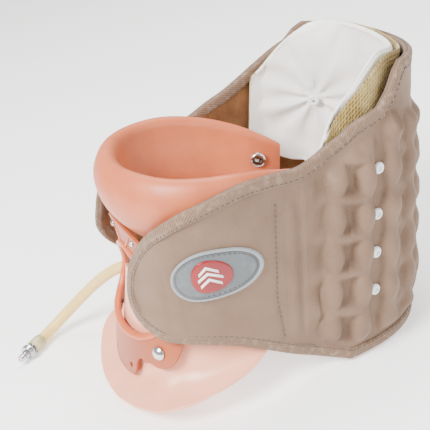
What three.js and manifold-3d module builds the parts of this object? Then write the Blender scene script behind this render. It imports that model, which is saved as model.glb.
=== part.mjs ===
// Inflatable cervical traction collar, lying on a table: a moulded chin cup on a riveted front frame and
// chest plate, and a fabric wrap whose rear half carries inflated air cells. Millimetres, +Z up.
// The collar is laid out upright (+X = wearer's left, -Y = front) and then leans back to stand on its
// chest plate and the rear hem of the wrap.
import * as THREE from 'three';
import { mergeVertices } from 'three/addons/utils/BufferGeometryUtils.js';
import Module from 'manifold-3d';

const wasm = await Module();
wasm.setup();

// ---- driving dimensions ----------------------------------------------------------------------
const LEAN = 13.5;                 // degrees the collar leans back when it is set down
const STAND = [0, -5, 1.8];       // puts the leaning collar on z = 0, centred on its footprint
const GAP = 0.3;                   // clearance between pieces that touch

const WRAP = { centreY: 30, seamY: -4 };
const WRAP_TOP = { halfWidth: 86, halfDepth: 71.5, power: 2.1 };    // plan of the upper edge at the rear
const WRAP_HEM = { halfWidth: 94, halfDepth: 84, power: 2.5 };    // plan of the lower edge at the rear
const COVER = [0, 1.2];            // depth range of the outer cover, from the outer surface inwards
const STAY = [1.9, 2.6];           // plastic stays and the air duct sit between cover and lining
const LINING = [3.3, 4.4];
const BINDING = { width: 9.5, thick: 5.6, gap: 1.3 };
const HEM_RISE = 0.24;             // height of the wrap's lower edge per mm towards the rear

const CELL = { count: 13, halfWidth: 7.6, sideHeight: 8.5, rearHeight: 5.5, pitch: 31, pinch: 0.2 };
const SNAP = { radius: 4.4, height: 2.8, levels: [63, 94, 125, 161] };

const FRAME_THICK = 3;
const PLATE_THICK = 2.6;
const RIVET = { x: 48.3, z: 20.6, radius: 5.6 };
const TAB_HOLE = { x: 16.7, z: -3.2, radius: 2 };
const EYELET = { y: 8, z: 131, radius: 6.4, bore: 3 };

const BADGE = { width: 69, height: 41, tilt: 12, thick: 1.6 };
const HOSE_RADIUS = 5;

// ---- materials -------------------------------------------------------------------------------
const material = (color, roughness, metalness = 0) =>
  new THREE.MeshStandardMaterial({ color, roughness, metalness });
const eva = material('#e0a48c', 0.55);
const salmonPlastic = material('#d99c82', 0.45);
const pinkPlastic = material('#eccabd', 0.35);
const beigeFabric = material('#a8998b', 0.8);
const bindingTwill = material('#9c8c7f', 0.85);
const brownLining = material('#8f7355', 0.9);
const whiteLeatherette = material('#ecebe6', 0.45);
const goldMesh = material('#c3b07a', 0.8);
const whitePlastic = material('#e6e8f0', 0.4);
const greyPatch = material('#85878a', 0.8);
const redEnamel = material('#b3262c', 0.5);
const stayPlastic = material('#b9b4aa', 0.6);
const chrome = material('#d6d6d8', 0.18, 1);
const latex = material('#ecd79a', 0.4);
const sleeveVinyl = material('#cfc9a8', 0.35);

// ---- geometry helpers ------------------------------------------------------------------------
const v3 = (x, y, z) => new THREE.Vector3(x, y, z);
const UP = v3(0, 0, 1);
const lerp = THREE.MathUtils.lerp;
const range = (n) => Array.from({ length: n }, (_, i) => i);
const fractions = (n) => range(n + 1).map((i) => i / n);

/** Closed geometry from vertices and triangles, turned so that its faces point out. */
function solid(points, faces) {
  let volume = 0;
  for (const [a, b, c] of faces) {
    volume += points[a].dot(points[b].clone().cross(points[c]));
  }
  const order = volume < 0 ? faces.map(([a, b, c]) => [a, c, b]) : faces;
  const geometry = new THREE.BufferGeometry();
  geometry.setAttribute('position', new THREE.Float32BufferAttribute(points.flatMap((p) => p.toArray()), 3));
  geometry.setIndex(order.flat());
  return geometry;
}

/** A closed body through rings of points; each ring is a loop, and both ends are capped by a fan. */
function loft(rings) {
  const count = rings[0].length;
  const points = rings.flat();
  const faces = [];
  for (let i = 0; i + 1 < rings.length; i++) {
    for (let j = 0; j < count; j++) {
      const a = i * count + j;
      const b = i * count + (j + 1) % count;
      faces.push([a, b, b + count], [a, b + count, a + count]);
    }
  }
  const cap = (ring, flip) => {
    const centre = ring.reduce((sum, p) => sum.add(p), v3(0, 0, 0)).divideScalar(count);
    const start = points.indexOf(ring[0]);
    const hub = points.push(centre) - 1;
    for (let j = 0; j < count; j++) {
      const a = start + j;
      const b = start + (j + 1) % count;
      faces.push(flip ? [hub, b, a] : [hub, a, b]);
    }
  };
  cap(rings[0], true);
  cap(rings[rings.length - 1], false);
  return solid(points, faces);
}

/** A closed sheet between two grids of points of the same size. */
function sheet(outer, inner) {
  const rows = outer.length;
  const cols = outer[0].length;
  const points = [...outer.flat(), ...inner.flat()];
  const half = rows * cols;
  const at = (i, j) => i * cols + j;
  const faces = [];
  const quad = (a, b, c, d) => faces.push([a, b, c], [a, c, d]);
  for (let i = 0; i + 1 < rows; i++) {
    for (let j = 0; j + 1 < cols; j++) {
      const [a, b, c, d] = [at(i, j), at(i, j + 1), at(i + 1, j + 1), at(i + 1, j)];
      quad(a, b, c, d);
      quad(half + d, half + c, half + b, half + a);
    }
  }
  for (let i = 0; i + 1 < rows; i++) {
    quad(at(i, 0), at(i + 1, 0), half + at(i + 1, 0), half + at(i, 0));
    quad(at(i + 1, cols - 1), at(i, cols - 1), half + at(i, cols - 1), half + at(i + 1, cols - 1));
  }
  for (let j = 0; j + 1 < cols; j++) {
    quad(at(0, j + 1), at(0, j), half + at(0, j), half + at(0, j + 1));
    quad(at(rows - 1, j), at(rows - 1, j + 1), half + at(rows - 1, j + 1), half + at(rows - 1, j));
  }
  return solid(points, faces);
}

/** The grid moved by a depth against its outward normals. */
function offsetGrid(grid, depth, outwards) {
  const clampAt = (i, j) => {
    const row = grid[THREE.MathUtils.clamp(i, 0, grid.length - 1)];
    return row[THREE.MathUtils.clamp(j, 0, row.length - 1)];
  };
  return grid.map((row, i) => row.map((p, j) => {
    const along = clampAt(i + 1, j).clone().sub(clampAt(i - 1, j));
    const across = clampAt(i, j + 1).clone().sub(clampAt(i, j - 1));
    const normal = along.cross(across).normalize();
    if (normal.dot(outwards(p)) < 0) normal.negate();
    return p.clone().addScaledVector(normal, -depth);
  }));
}

const toManifold = (geometry) => {
  const bare = geometry.clone();
  bare.deleteAttribute('normal');
  bare.deleteAttribute('uv');
  const merged = mergeVertices(bare, 1e-4);
  return new wasm.Manifold(new wasm.Mesh({
    numProp: 3,
    vertProperties: new Float32Array(merged.attributes.position.array),
    triVerts: new Uint32Array(merged.index.array),
  }));
};

const fromManifold = (body) => {
  const { vertProperties, triVerts } = body.getMesh();
  const geometry = new THREE.BufferGeometry();
  geometry.setAttribute('position', new THREE.BufferAttribute(vertProperties, 3));
  geometry.setIndex(new THREE.BufferAttribute(triVerts, 1));
  return geometry;
};

const cut = (geometry, ...tools) =>
  fromManifold(tools.reduce((body, tool) => body.subtract(toManifold(tool)), toManifold(geometry)));
const keepInside = (geometry, tool) => fromManifold(toManifold(geometry).intersect(toManifold(tool)));

/** A lathe body whose axis runs from a point along a direction. Profile: [radius, height] pairs. */
function turned(profile, origin, direction, segments = 12) {
  const geometry = new THREE.LatheGeometry(profile.map(([r, h]) => new THREE.Vector2(r, h)), segments);
  const turn = new THREE.Quaternion().setFromUnitVectors(v3(0, 1, 0), direction.clone().normalize());
  return geometry.applyQuaternion(turn).translate(origin.x, origin.y, origin.z);
}

/** An outline in the XZ plane, extruded right through the front of the collar. */
function frontCutter(shape) {
  const geometry = new THREE.ExtrudeGeometry(shape, { depth: 120, bevelEnabled: false, curveSegments: 8 });
  return geometry.rotateX(Math.PI / 2).translate(0, -50, 0);
}

/** Linear lookup in rows of [key, value, value...]. */
function lookup(table, key) {
  const next = table.findIndex((row) => row[0] >= key);
  if (next <= 0) return (next < 0 ? table[table.length - 1] : table[0]).slice(1);
  const [low, high] = [table[next - 1], table[next]];
  const t = (key - low[0]) / (high[0] - low[0]);
  return low.slice(1).map((value, i) => lerp(value, high[i + 1], t));
}

const parts = [];
function add(name, geometry, look) {
  const mesh = new THREE.Mesh(geometry, look);
  mesh.name = name;
  parts.push(mesh);
  return mesh;
}

// ---- chin cup --------------------------------------------------------------------------------
// Inner edge of the rim, from the front centre to the end of one arm.
const rimHalf = [
  [0, -127, 158], [27, -122.5, 159], [51, -110, 160.5], [64, -91, 162.5], [69, -69, 164],
  [67.5, -50, 163], [63, -28, 159.5], [55.5, -9, 155], [48, 4, 151], [42, 16, 147], [37.5, 27, 143.5],
];
// Wall section: how far out from the rim's inner edge, and how far above it.
const cupSection = [
  [0, 0], [3, 3], [7.5, 4.2], [12.5, 1.5], [16.3, -5], [18, -14], [16, -25], [11, -35], [3.5, -44],
  [-3, -50], [-10, -53], [-12, -46], [-8, -31], [-3, -14],
];

function rimCurve() {
  const far = rimHalf.slice(1).reverse().map(([x, y, z]) => v3(-x, y, z));
  const near = rimHalf.map(([x, y, z]) => v3(x, y, z));
  return new THREE.CatmullRomCurve3([...far, ...near], false, 'centripetal');
}

function chinCup() {
  const rim = rimCurve();
  const roundEnd = [0.35, 0.75, 0.95];
  const stations = fractions(30);
  const rings = stations.map((u, i) => {
    const p = rim.getPointAt(u);
    const out = rim.getTangentAt(u).cross(UP).setZ(0).normalize();
    const fromEnd = Math.min(i, stations.length - 1 - i);
    const size = roundEnd[fromEnd] ?? 1;
    const arm = THREE.MathUtils.smoothstep(p.y, -40, 15);
    const girth = lerp(1, 0.78, arm) * lerp(1, 0.92, THREE.MathUtils.smoothstep(Math.abs(p.x), 20, 50));
    return cupSection.map(([o, h]) => {
      const across = 6 + (o - 6) * size;
      const tall = -24 + (h + 24) * lerp(1, size, 0.3);
      return p.clone().addScaledVector(out, across * girth).add(v3(0, 0, tall * lerp(1, 0.86, arm)));
    });
  });
  return loft(rings);
}

// ---- front frame -----------------------------------------------------------------------------
// Height, front-most y and plan radius of the frame's outer surface.
const frameProfile = [
  [-14, -131.5, 110], [0, -131.5, 108], [20, -131, 100], [40, -129, 86], [60, -127.8, 78],
  [92, -127.5, 78], [100, -128.6, 130], [110, -130.4, 400],
];
function frameSurface(x, z) {
  const [frontY, radius] = lookup(frameProfile, z);
  return v3(x, frontY + radius - Math.sqrt(radius * radius - x * x), z);
}
/** Outward normal of the frame's surface. */
function frameNormal(x, z) {
  const dx = frameSurface(x + 0.5, z).sub(frameSurface(x - 0.5, z));
  const dz = frameSurface(x, z + 0.5).sub(frameSurface(x, z - 0.5));
  return dx.cross(dz).normalize();
}

function frameOutline() {
  const half = [
    [20, -11], [24, -6.5], [26.5, 5], [30.5, 8.5], [35, 6.5], [41, 8.8], [48, 7.8], [56, 10.5], [61.5, 17],
    [63, 28], [63, 62], [59, 80], [50, 91], [41, 98], [38, 103], [34, 107.5],
  ];
  const right = half.map(([x, z]) => new THREE.Vector2(x, z));
  const left = half.map(([x, z]) => new THREE.Vector2(-x, z)).reverse();
  return new THREE.Shape([...right, ...left]);
}

function throatOpening() {
  const shape = new THREE.Shape();
  shape.moveTo(0, 91);
  shape.bezierCurveTo(16, 86, 48, 72, 47, 50);
  shape.bezierCurveTo(45, 32, 24, 25, 0, 25);
  shape.bezierCurveTo(-24, 25, -45, 32, -47, 50);
  shape.bezierCurveTo(-48, 72, -16, 86, 0, 91);
  return shape;
}

function frontFrame() {
  const heights = [-14, 0, 20, 30, 40, 50, 60, 76, 92, 100, 110];
  const outer = heights.map((z) => fractions(12).map((t) => frameSurface(lerp(-65, 65, t), z)));
  const inner = offsetGrid(outer, FRAME_THICK, () => v3(0, -1, 0));
  const drill = (x, z, radius) =>
    turned([[0, -20], [radius, -20], [radius, 20], [0, 20]], frameSurface(x, z), frameNormal(x, z), 12);
  const holes = [-1, 1].flatMap((side) => [
    drill(side * TAB_HOLE.x, TAB_HOLE.z, TAB_HOLE.radius),
    drill(side * RIVET.x, RIVET.z, 2.2),
  ]);
  const blank = keepInside(sheet(outer, inner), frontCutter(frameOutline()));
  return cut(blank, frontCutter(throatOpening()), ...holes);
}

// ---- chest plate -----------------------------------------------------------------------------
// Upper edge, waist and lower edge of the plate's outer surface, from its centre line to one side.
const plateHalf = [
  [[0, -123, 70], [0, -126, -9], [0, -141.5, -33.5]],
  [[12, -122, 69], [14, -125, -9], [15, -142.6, -29.5]],
  [[24, -118.4, 66], [27, -122, -8], [30, -140.5, -27]],
  [[35, -113, 60], [38, -117.6, -1], [44, -137, -24.5]],
  [[44, -107.5, 54], [49, -112.6, 7], [58, -132, -20.5]],
  [[52, -97, 50], [58, -103, 10], [70, -126.5, -16]],
  [[58, -87, 47], [65, -94, 13], [79, -119, -10.5]],
  [[63, -78, 45], [70, -84, 16], [85.5, -107, -5]],
  [[67, -68, 43], [74, -72, 20], [88.5, -90, 2]],
  [[70, -57, 41], [77, -60, 24], [90, -73, 9]],
  [[71, -47, 40], [76.5, -48, 29], [87, -54, 17.5]],
  [[72, -40, 39], [76, -40, 32], [79.5, -39.5, 23.5]],
];

/** One vertical strip of the plate: straight down to its waist, then flaring out to the lower edge. */
function plateStrip(points, side) {
  const [high, waist, low] = points.map(([x, y, z]) => v3(side * x, y, z));
  const flare = waist.clone().add(waist.clone().sub(high).setLength(waist.distanceTo(low) * 0.36));
  const lower = new THREE.QuadraticBezierCurve3(waist, flare, low);
  return [high, high.clone().lerp(waist, 0.5), ...fractions(4).map((t) => lower.getPoint(t))];
}

function chestPlate() {
  const left = plateHalf.slice(1).reverse().map((points) => plateStrip(points, -1));
  const outer = [...left, ...plateHalf.map((points) => plateStrip(points, 1))];
  const inner = offsetGrid(outer, PLATE_THICK, (p) => v3(p.x, p.y + 30, 0));
  const holes = [-1, 1].map((side) =>
    turned([[0, -20], [2.2, -20], [2.2, 20], [0, 20]],
      frameSurface(side * RIVET.x, RIVET.z), frameNormal(side * RIVET.x, RIVET.z), 12));
  return cut(sheet(outer, inner), ...holes);
}

function rivet(side) {
  const origin = frameSurface(side * RIVET.x, RIVET.z);
  const head = [[0, -8], [1.9, -8], [1.9, GAP], [RIVET.radius, GAP], [RIVET.radius, 1.1], [3.9, 2.6], [0, 3.3]];
  return turned(head, origin, frameNormal(side * RIVET.x, RIVET.z), 14);
}

function cupPin(side) {
  const [x, z] = [side * 22, 103.5];
  const head = [[0, GAP], [2.4, GAP], [2.4, 1], [1.4, 1.8], [0, 2]];
  return turned(head, frameSurface(x, z), frameNormal(x, z), 10);
}

// ---- wrap: outline curves of the rear part and of the two wings --------------------------------
// A station holds the two ends of a vertical strip of the wrap and its outward normal.
// y, then the height of the upper edge on the left and on the right side.
const topHeight = [
  [-4, 181, 183.6], [8, 188, 192], [20, 197, 201], [41, 206, 216], [50, 217, 222], [57, 231, 232],
  [64, 238, 238], [90, 240, 240], [120, 240, 240],
];

/** A point of a rounded plan outline; the fraction runs from the left seam round the rear to the right. */
function planPoint({ halfWidth, halfDepth, power }, fraction) {
  const straight = 0.11;
  if (fraction < straight) return [halfWidth, lerp(WRAP.seamY, WRAP.centreY, fraction / straight)];
  if (fraction > 1 - straight) {
    const [x, y] = planPoint({ halfWidth, halfDepth, power }, 1 - fraction);
    return [-x, y];
  }
  const angle = Math.PI * (fraction - straight) / (1 - 2 * straight);
  const [c, s] = [Math.cos(angle), Math.sin(angle)];
  const size = (Math.abs(c) ** power + s ** power) ** (-1 / power);
  return [halfWidth * c * size, WRAP.centreY + halfDepth * s * size];
}

function rearStations() {
  return fractions(40).map((u) => {
    const [hx, hy] = planPoint(WRAP_HEM, u);
    const [tx, ty] = planPoint(WRAP_TOP, u);
    const ahead = planPoint(WRAP_TOP, Math.min(u + 0.005, 1));
    const behind = planPoint(WRAP_TOP, Math.max(u - 0.005, 0));
    const seamward = THREE.MathUtils.clamp((ty - WRAP.seamY) / 30, 0, 1);
    return {
      top: v3(tx, ty, lookup(topHeight, ty)[tx > 0 ? 0 : 1]),
      bottom: v3(lerp(Math.sign(hx) * 86.6, hx, seamward), hy, Math.max(HEM_RISE * hy, 11.4 - 0.21 * hy)),
      normal: v3(ahead[1] - behind[1], behind[0] - ahead[0], 0).normalize(),
    };
  });
}

// Both wings: upper edge then lower edge, from the seam to the tip.
const nearUpper = [
  [86, -4.3, 180], [88.5, -24, 171], [92, -49, 169.5], [93.5, -72, 166.5], [91, -100.5, 156.2], [84.5, -114.5, 149],
  [70.4, -125, 136.5], [56.5, -130, 124.5], [43, -132.8, 110.4], [35, -133.8, 98.8], [29, -134.7, 86.8],
];
const nearLower = [
  [86.6, -4.3, 12.3], [87.3, -24, 18.7], [85.4, -43, 25.3], [82, -68, 32.8], [76.5, -94.6, 36.8],
  [68.5, -108, 36.7], [59, -117.8, 36.5], [48, -125.5, 40.5], [37.5, -130.5, 46.5], [30.5, -133.8, 55.8],
  [26.5, -134.8, 67.8],
];
const farUpper = [
  [86, -4.3, 183], [88.5, -22, 172], [92, -37, 160.5], [93.5, -56.5, 151.8], [93, -76.5, 147.3], [90.5, -95, 143],
  [83.5, -109, 135.5], [79.5, -118, 123.5], [76, -124, 111], [72.5, -127, 100],
];
const farLower = [
  [86.6, -4.3, 12.3], [87.5, -22, 18.5], [86, -42, 26], [84.5, -62, 34], [83, -80, 41], [81, -95, 49],
  [78.5, -107, 57], [75.5, -117, 65], [73, -124, 73.5], [71.5, -128, 82],
];

function wingStations(upper, lower, side) {
  const place = ([x, y, z]) => v3(side * x, y, z);
  const edge = new THREE.CatmullRomCurve3([...upper, ...[...lower].reverse()].map(place), false, 'centripetal');
  const half = 26;
  const samples = fractions(2 * half).map((t) => edge.getPoint(t));
  const pairs = range(half + 1).map((i) => [samples[i], samples[2 * half - i]]);
  const middle = pairs.map(([a, b]) => a.clone().add(b).multiplyScalar(0.5));
  return pairs.map(([top, bottom], i) => {
    const next = middle[Math.min(i + 1, half)];
    const last = middle[Math.max(i - 1, 0)];
    const normal = next.clone().sub(last).cross(UP).setZ(0).normalize().multiplyScalar(-side);
    return { top, bottom, normal: i === 0 ? v3(side, 0, 0) : normal };
  });
}

/** Shortens every strip at both ends so that it stays a width away from the wrap's edges. */
function insideBinding(stations, width) {
  const edges = [...stations.map((s) => s.top), ...[...stations].reverse().map((s) => s.bottom)];
  const segment = new THREE.Line3();
  const nearest = v3(0, 0, 0);
  const clear = (p) => range(edges.length - 1).every((i) => {
    if (i === stations.length - 1 && edges[i].distanceTo(edges[i + 1]) > 40) return true;
    segment.set(edges[i], edges[i + 1]).closestPointToPoint(p, true, nearest);
    return nearest.distanceTo(p) >= width;
  });
  return stations.flatMap((s) => {
    const free = fractions(160).filter((t) => clear(s.bottom.clone().lerp(s.top, t)));
    if (free.length < 12) return [];
    const ends = [free[0], free[free.length - 1]].map((t) => s.bottom.clone().lerp(s.top, t));
    return [{ ...s, bottom: ends[0], top: ends[1] }];
  });
}

/** A layer of the wrap between two depths, on the strips from one station to another. */
function layer(stations, [d0, d1], rows, from = 0, to = 1) {
  const level = (s, t, depth) => s.bottom.clone().lerp(s.top, t).addScaledVector(s.normal, -depth);
  const levels = fractions(rows).map((t) => lerp(from, to, t));
  const grid = (depth) => stations.map((s) => levels.map((t) => level(s, t, depth)));
  return sheet(grid(d0), grid(d1));
}

/** Folded tape along an edge: from the edge inwards on both faces. */
function edgeTape(points, normals, inwards) {
  const { width, thick } = BINDING;
  const section = [[0.2, 0.5], [1.6, 0.62], [width, 0.5], [width, -0.5], [1.6, -0.62], [0.2, -0.5]];
  const middle = -LINING[1] / 2;
  return loft(points.map((p, i) => {
    const tangent = points[Math.min(i + 1, points.length - 1)].clone().sub(points[Math.max(i - 1, 0)]);
    const square = i === 0 || i === points.length - 1;
    const across = square ? inwards(i).clone().normalize() : tangent.cross(normals[i]).normalize();
    if (across.dot(inwards(i)) < 0) across.negate();
    return section.map(([w, h]) => p.clone().addScaledVector(across, w)
      .addScaledVector(normals[i], middle + h * thick));
  }));
}

const every = (list, step) => list.filter((_, i) => i % step === 0 || i === list.length - 1);

function buildRear() {
  const stations = rearStations();
  const field = insideBinding(stations, BINDING.width + BINDING.gap);
  add('back_cover', layer(field, COVER, 3), beigeFabric);
  add('back_lining', layer(field, LINING, 3), brownLining);
  add('air_duct', layer(field.slice(2, -2), STAY, 1, 1 / 3, 0.4), stayPlastic);
  const edge = every(stations, 2);
  const normals = edge.map((s) => s.normal);
  add('back_top_binding', edgeTape(edge.map((s) => s.top), normals, () => v3(0, 0, -1)), bindingTwill);
  add('back_bottom_binding', edgeTape(edge.map((s) => s.bottom), normals, () => UP), bindingTwill);
}

/** Point and outward normal on the wrap's outer surface, at a fraction round the rear and a height. */
function rearPoint(u, z) {
  const stations = rearStations();
  const at = u * (stations.length - 1);
  const i = Math.min(Math.floor(at), stations.length - 2);
  const mix = (key) => stations[i][key].clone().lerp(stations[i + 1][key], at - i);
  const [top, bottom] = [mix('top'), mix('bottom')];
  const level = (z - bottom.z) / (top.z - bottom.z);
  const before = stations[i].bottom.clone().lerp(stations[i].top, level);
  const after = stations[i + 1].bottom.clone().lerp(stations[i + 1].top, level);
  const point = bottom.clone().lerp(top, level);
  return { point, normal: after.sub(before).cross(UP).setZ(0).normalize(), top: top.z, bottom: bottom.z };
}

const cellStart = 0.036;
const cellAt = (k) => lerp(cellStart, 1 - cellStart, k / (CELL.count - 1));

function airCell(k) {
  const { top, bottom } = rearPoint(cellAt(k), 0);
  const high = Math.min(top - 19, 200);
  const low = bottom + 14;
  const rearward = Math.sin((Math.PI * k) / (CELL.count - 1));
  const tall = lerp(CELL.sideHeight, CELL.rearHeight, THREE.MathUtils.smoothstep(rearward, 0.3, 0.8));
  const section = [[-1, 0], [-0.85, 0.6], [-0.35, 0.98], [0.35, 0.98], [0.85, 0.6], [1, 0]];
  return loft(fractions(14).map((t) => {
    const z = lerp(low, high, t);
    const { point, normal } = rearPoint(cellAt(k), z);
    const side = v3(-normal.y, normal.x, 0);
    const round = Math.min(1, 0.55 + 6 * Math.min(t, 1 - t));
    const swell = 1 - CELL.pinch * (0.5 + 0.5 * Math.cos((2 * Math.PI * (z - 50)) / CELL.pitch));
    return section.map(([s, h]) => point.clone()
      .addScaledVector(side, s * CELL.halfWidth * round * lerp(1, swell, 0.5))
      .addScaledVector(normal, 4 * GAP + h * tall * round * swell));
  }));
}

function snap(u, z) {
  const { point, normal } = rearPoint(u, z);
  const { radius, height } = SNAP;
  const profile = [[0, 3 * GAP], [radius, 3 * GAP], [radius * 0.8, height], [radius * 0.4, height], [0, 1.5]];
  return turned(profile, point, normal, 10);
}

function buildWing(name, upper, lower, side) {
  const stations = wingStations(upper, lower, side);
  const field = insideBinding(stations, BINDING.width + BINDING.gap);
  add(`${name}_wing_cover`, layer(field, COVER, 3), beigeFabric);
  add(`${name}_wing_lining`, layer(field, LINING, 3), brownLining);
  add(`${name}_wide_stay`, layer(field.slice(1, 5), STAY, 3, 0.06, 0.95), stayPlastic);
  add(`${name}_narrow_stay`, layer(field.slice(6, 8), STAY, 3, 0.04, 0.96), stayPlastic);
  add(`${name}_tip_stay`, layer(field.slice(17, 19), STAY, 3, 0.06, 0.94), stayPlastic);
  const loop = [...stations, ...[...stations].reverse().slice(1)];
  const rim = loop.map((s, i) => (i < stations.length ? s.top : s.bottom));
  const heart = stations[14].top.clone().add(stations[14].bottom).multiplyScalar(0.5);
  const inwards = (i) => {
    if (i < stations.length - 6) return v3(0, 0, -1);
    if (i >= stations.length + 5) return UP;
    return heart.clone().sub(rim[i]);
  };
  const tape = every(range(loop.length), 2);
  const normals = tape.map((i) => loop[i].normal);
  add(`${name}_wing_binding`, edgeTape(tape.map((i) => rim[i]), normals, (k) => inwards(tape[k])), bindingTwill);
  return { stations, field };
}

/** A patch of the wing's surface, between two strips and two heights, at a depth range. */
function hookPatch({ field }) {
  return layer(field.slice(14, 18), [LINING[1] + 2 * GAP, LINING[1] + 1.8], 3, 0.2, 0.8);
}

// ---- badge on the left wing ------------------------------------------------------------------
/** Point on the wing's outer surface nearest to a plan position given by its strip and height. */
function wingSurface({ stations }, at, z, depth) {
  const i = THREE.MathUtils.clamp(Math.floor(at), 0, stations.length - 2);
  const t = at - i;
  const blend = (key) => stations[i][key].clone().lerp(stations[i + 1][key], t);
  const [top, bottom, normal] = [blend('top'), blend('bottom'), blend('normal').normalize()];
  const level = (z - bottom.z) / (top.z - bottom.z);
  return bottom.lerp(top, level).addScaledVector(normal, -depth);
}

function badge(wing, halfLength, halfHeight, depth0, depth1) {
  const [middle, height] = [9.7, 98];
  const tilt = THREE.MathUtils.degToRad(BADGE.tilt);
  const stripWidth = 6.9;
  const place = (x, y, depth) => {
    const [along, rise] = [x * Math.cos(tilt) - y * Math.sin(tilt), x * Math.sin(tilt) + y * Math.cos(tilt)];
    return wingSurface(wing, middle + along / stripWidth, height - rise, depth);
  };
  const spokes = 16;
  const disc = (depth) => fractions(3).map((t) => range(spokes).map((k) => {
    const angle = (2 * Math.PI * k) / spokes;
    return place(Math.max(t, 0.02) * halfLength * Math.cos(angle),
      Math.max(t, 0.02) * halfHeight * Math.sin(angle), depth);
  }));
  return loft([...disc(depth0), ...disc(depth1).reverse()]);
}

// ---- occipital pad ---------------------------------------------------------------------------
// Fraction along the pad, height of its lower edge and of its upper edge.
const padOutline = [
  [0, 138, 160], [0.09, 127, 194], [0.18, 120, 216], [0.28, 117, 231], [0.37, 115, 239], [0.5, 114, 240],
  [0.66, 115, 243], [0.78, 117, 241], [0.87, 120, 226], [0.94, 126, 208], [1, 136, 190],
];
const PAD = { left: -8, right: 17, halfWidth: 80, halfDepth: 65, meshBack: [2.4, 5], cushion: [4, 9] };

/** Plan position and inward normal along the pad, from its left end round the rear to its right end. */
function padPlan(t) {
  const { left, right, halfWidth, halfDepth } = PAD;
  const leftRun = WRAP.centreY - left;
  const rightRun = WRAP.centreY - right;
  const arc = Math.PI * (halfWidth + halfDepth) / 2;
  const at = t * (leftRun + arc + rightRun);
  if (at < leftRun) return { point: v3(halfWidth, left + at, 0), inwards: v3(-1, 0, 0) };
  if (at > leftRun + arc) {
    return { point: v3(-halfWidth, WRAP.centreY - (at - leftRun - arc), 0), inwards: v3(1, 0, 0) };
  }
  const angle = Math.PI * (at - leftRun) / arc;
  const [c, s] = [Math.cos(angle), Math.sin(angle)];
  return {
    point: v3(halfWidth * c, WRAP.centreY + halfDepth * s, 0),
    inwards: v3(-c / halfWidth, -s / halfDepth, 0).normalize(),
  };
}

/** One layer of the pad; both layers thin out towards the ends. */
function padLayer(gap, under, [thin, full]) {
  const rows = 4;
  const grid = (surface) => fractions(22).map((t) => {
    const [low, high] = lookup(padOutline, t);
    const { point, inwards } = padPlan(t);
    const body = THREE.MathUtils.smoothstep(Math.min(t, 1 - t), 0, 0.2);
    const base = gap + (under ? lerp(under[0], under[1], body) : 0);
    return fractions(rows).map((r) => {
      const crown = 0.55 + 0.45 * Math.sin(Math.PI * THREE.MathUtils.clamp(r, 0.08, 0.92));
      const depth = base + surface * lerp(thin, full, body) * crown;
      return point.clone().addScaledVector(inwards, depth).setZ(lerp(low, high, r));
    });
  });
  return sheet(grid(0), grid(1));
}

function padButton(angle, z) {
  const a = THREE.MathUtils.degToRad(angle);
  const centre = v3(0, WRAP.centreY, z);
  const inwards = v3(-Math.cos(a), -Math.sin(a), 0);
  return turned([[0, 0], [4.5, 0], [4.5, 1], [2.6, 2.4], [0, 2.8]], centre.addScaledVector(inwards, -55),
    inwards, 12);
}

// ---- air hose and its quick coupling, laid on the table ---------------------------------------
// Route in the table's frame: out of the inlet, under the wing's edge, down to the table.
const hoseRoute = [
  [-73, -13.5, 62.6], [-72.4, -24, 63], [-71, -40, 64.5], [-70, -56, 66.3], [-69.5, -70, 67], [-70.2, -82, 66.4],
  [-74.2, -91, 63.6], [-81.5, -99.5, 59.6], [-90, -108, 52.8], [-98.6, -117.5, 44], [-106.5, -128, 33.8],
  [-112, -139, 24.4], [-114.8, -150, 16.6], [-115, -160, 11], [-112.8, -169.3, 7.6], [-108.6, -175.2, 7.2],
];
const hoseEnd = v3(-108.6, -175.6, 7.2);
const couplingAxis = v3(0.585, -0.811, 0).normalize();

function hose() {
  const route = new THREE.CatmullRomCurve3(hoseRoute.map(([x, y, z]) => v3(x, y, z)), false, 'centripetal');
  const circle = new THREE.Shape();
  circle.absarc(0, 0, HOSE_RADIUS, 0, 2 * Math.PI);
  return new THREE.ExtrudeGeometry(circle, { steps: 24, curveSegments: 5, extrudePath: route });
}

// Distance from the axis and along it: fixed barrel with its nose, and the release collar that slides on it.
const couplingBody = [
  [0, 13.3], [5.4, 13.3], [5.4, 14.2], [3.6, 14.2], [3.6, 24.4], [2.2, 24.8], [3.3, 26.6], [2.4, 28.4], [2.9, 28.8],
  [2.9, 31], [0, 31],
];
const couplingCollar = [[3.9, 16.6], [6.2, 16.6], [6.7, 17.2], [6.7, 21], [5.4, 21.6], [3.9, 21.6], [3.9, 16.6]];
const onCoupling = (profile, segments) => turned(profile, hoseEnd.clone(), couplingAxis, segments);

function hoseInlet() {
  const elbow = [
    [v3(-81.2, -8, 62), v3(1, 0, 0), 9], [v3(-79.8, -8, 62), v3(1, 0, 0), 9], [v3(-79.7, -8, 62), v3(1, 0, 0), 5.6],
    [v3(-77, -8.8, 62), v3(0.85, -0.5, 0), 5.6], [v3(-75.1, -10.6, 62), v3(0.45, -0.9, 0), 5.6],
    [v3(-74.5, -13, 62), v3(0, -1, 0), 5.6], [v3(-74.3, -18, 62), v3(0, -1, 0), 5.2],
  ];
  return loft(elbow.map(([centre, direction, radius]) => {
    const side = direction.clone().normalize().cross(UP).normalize();
    return range(12).map((k) => {
      const a = (2 * Math.PI * k) / 12;
      return centre.clone().addScaledVector(side, radius * Math.cos(a)).addScaledVector(UP, radius * Math.sin(a));
    });
  }));
}

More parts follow.
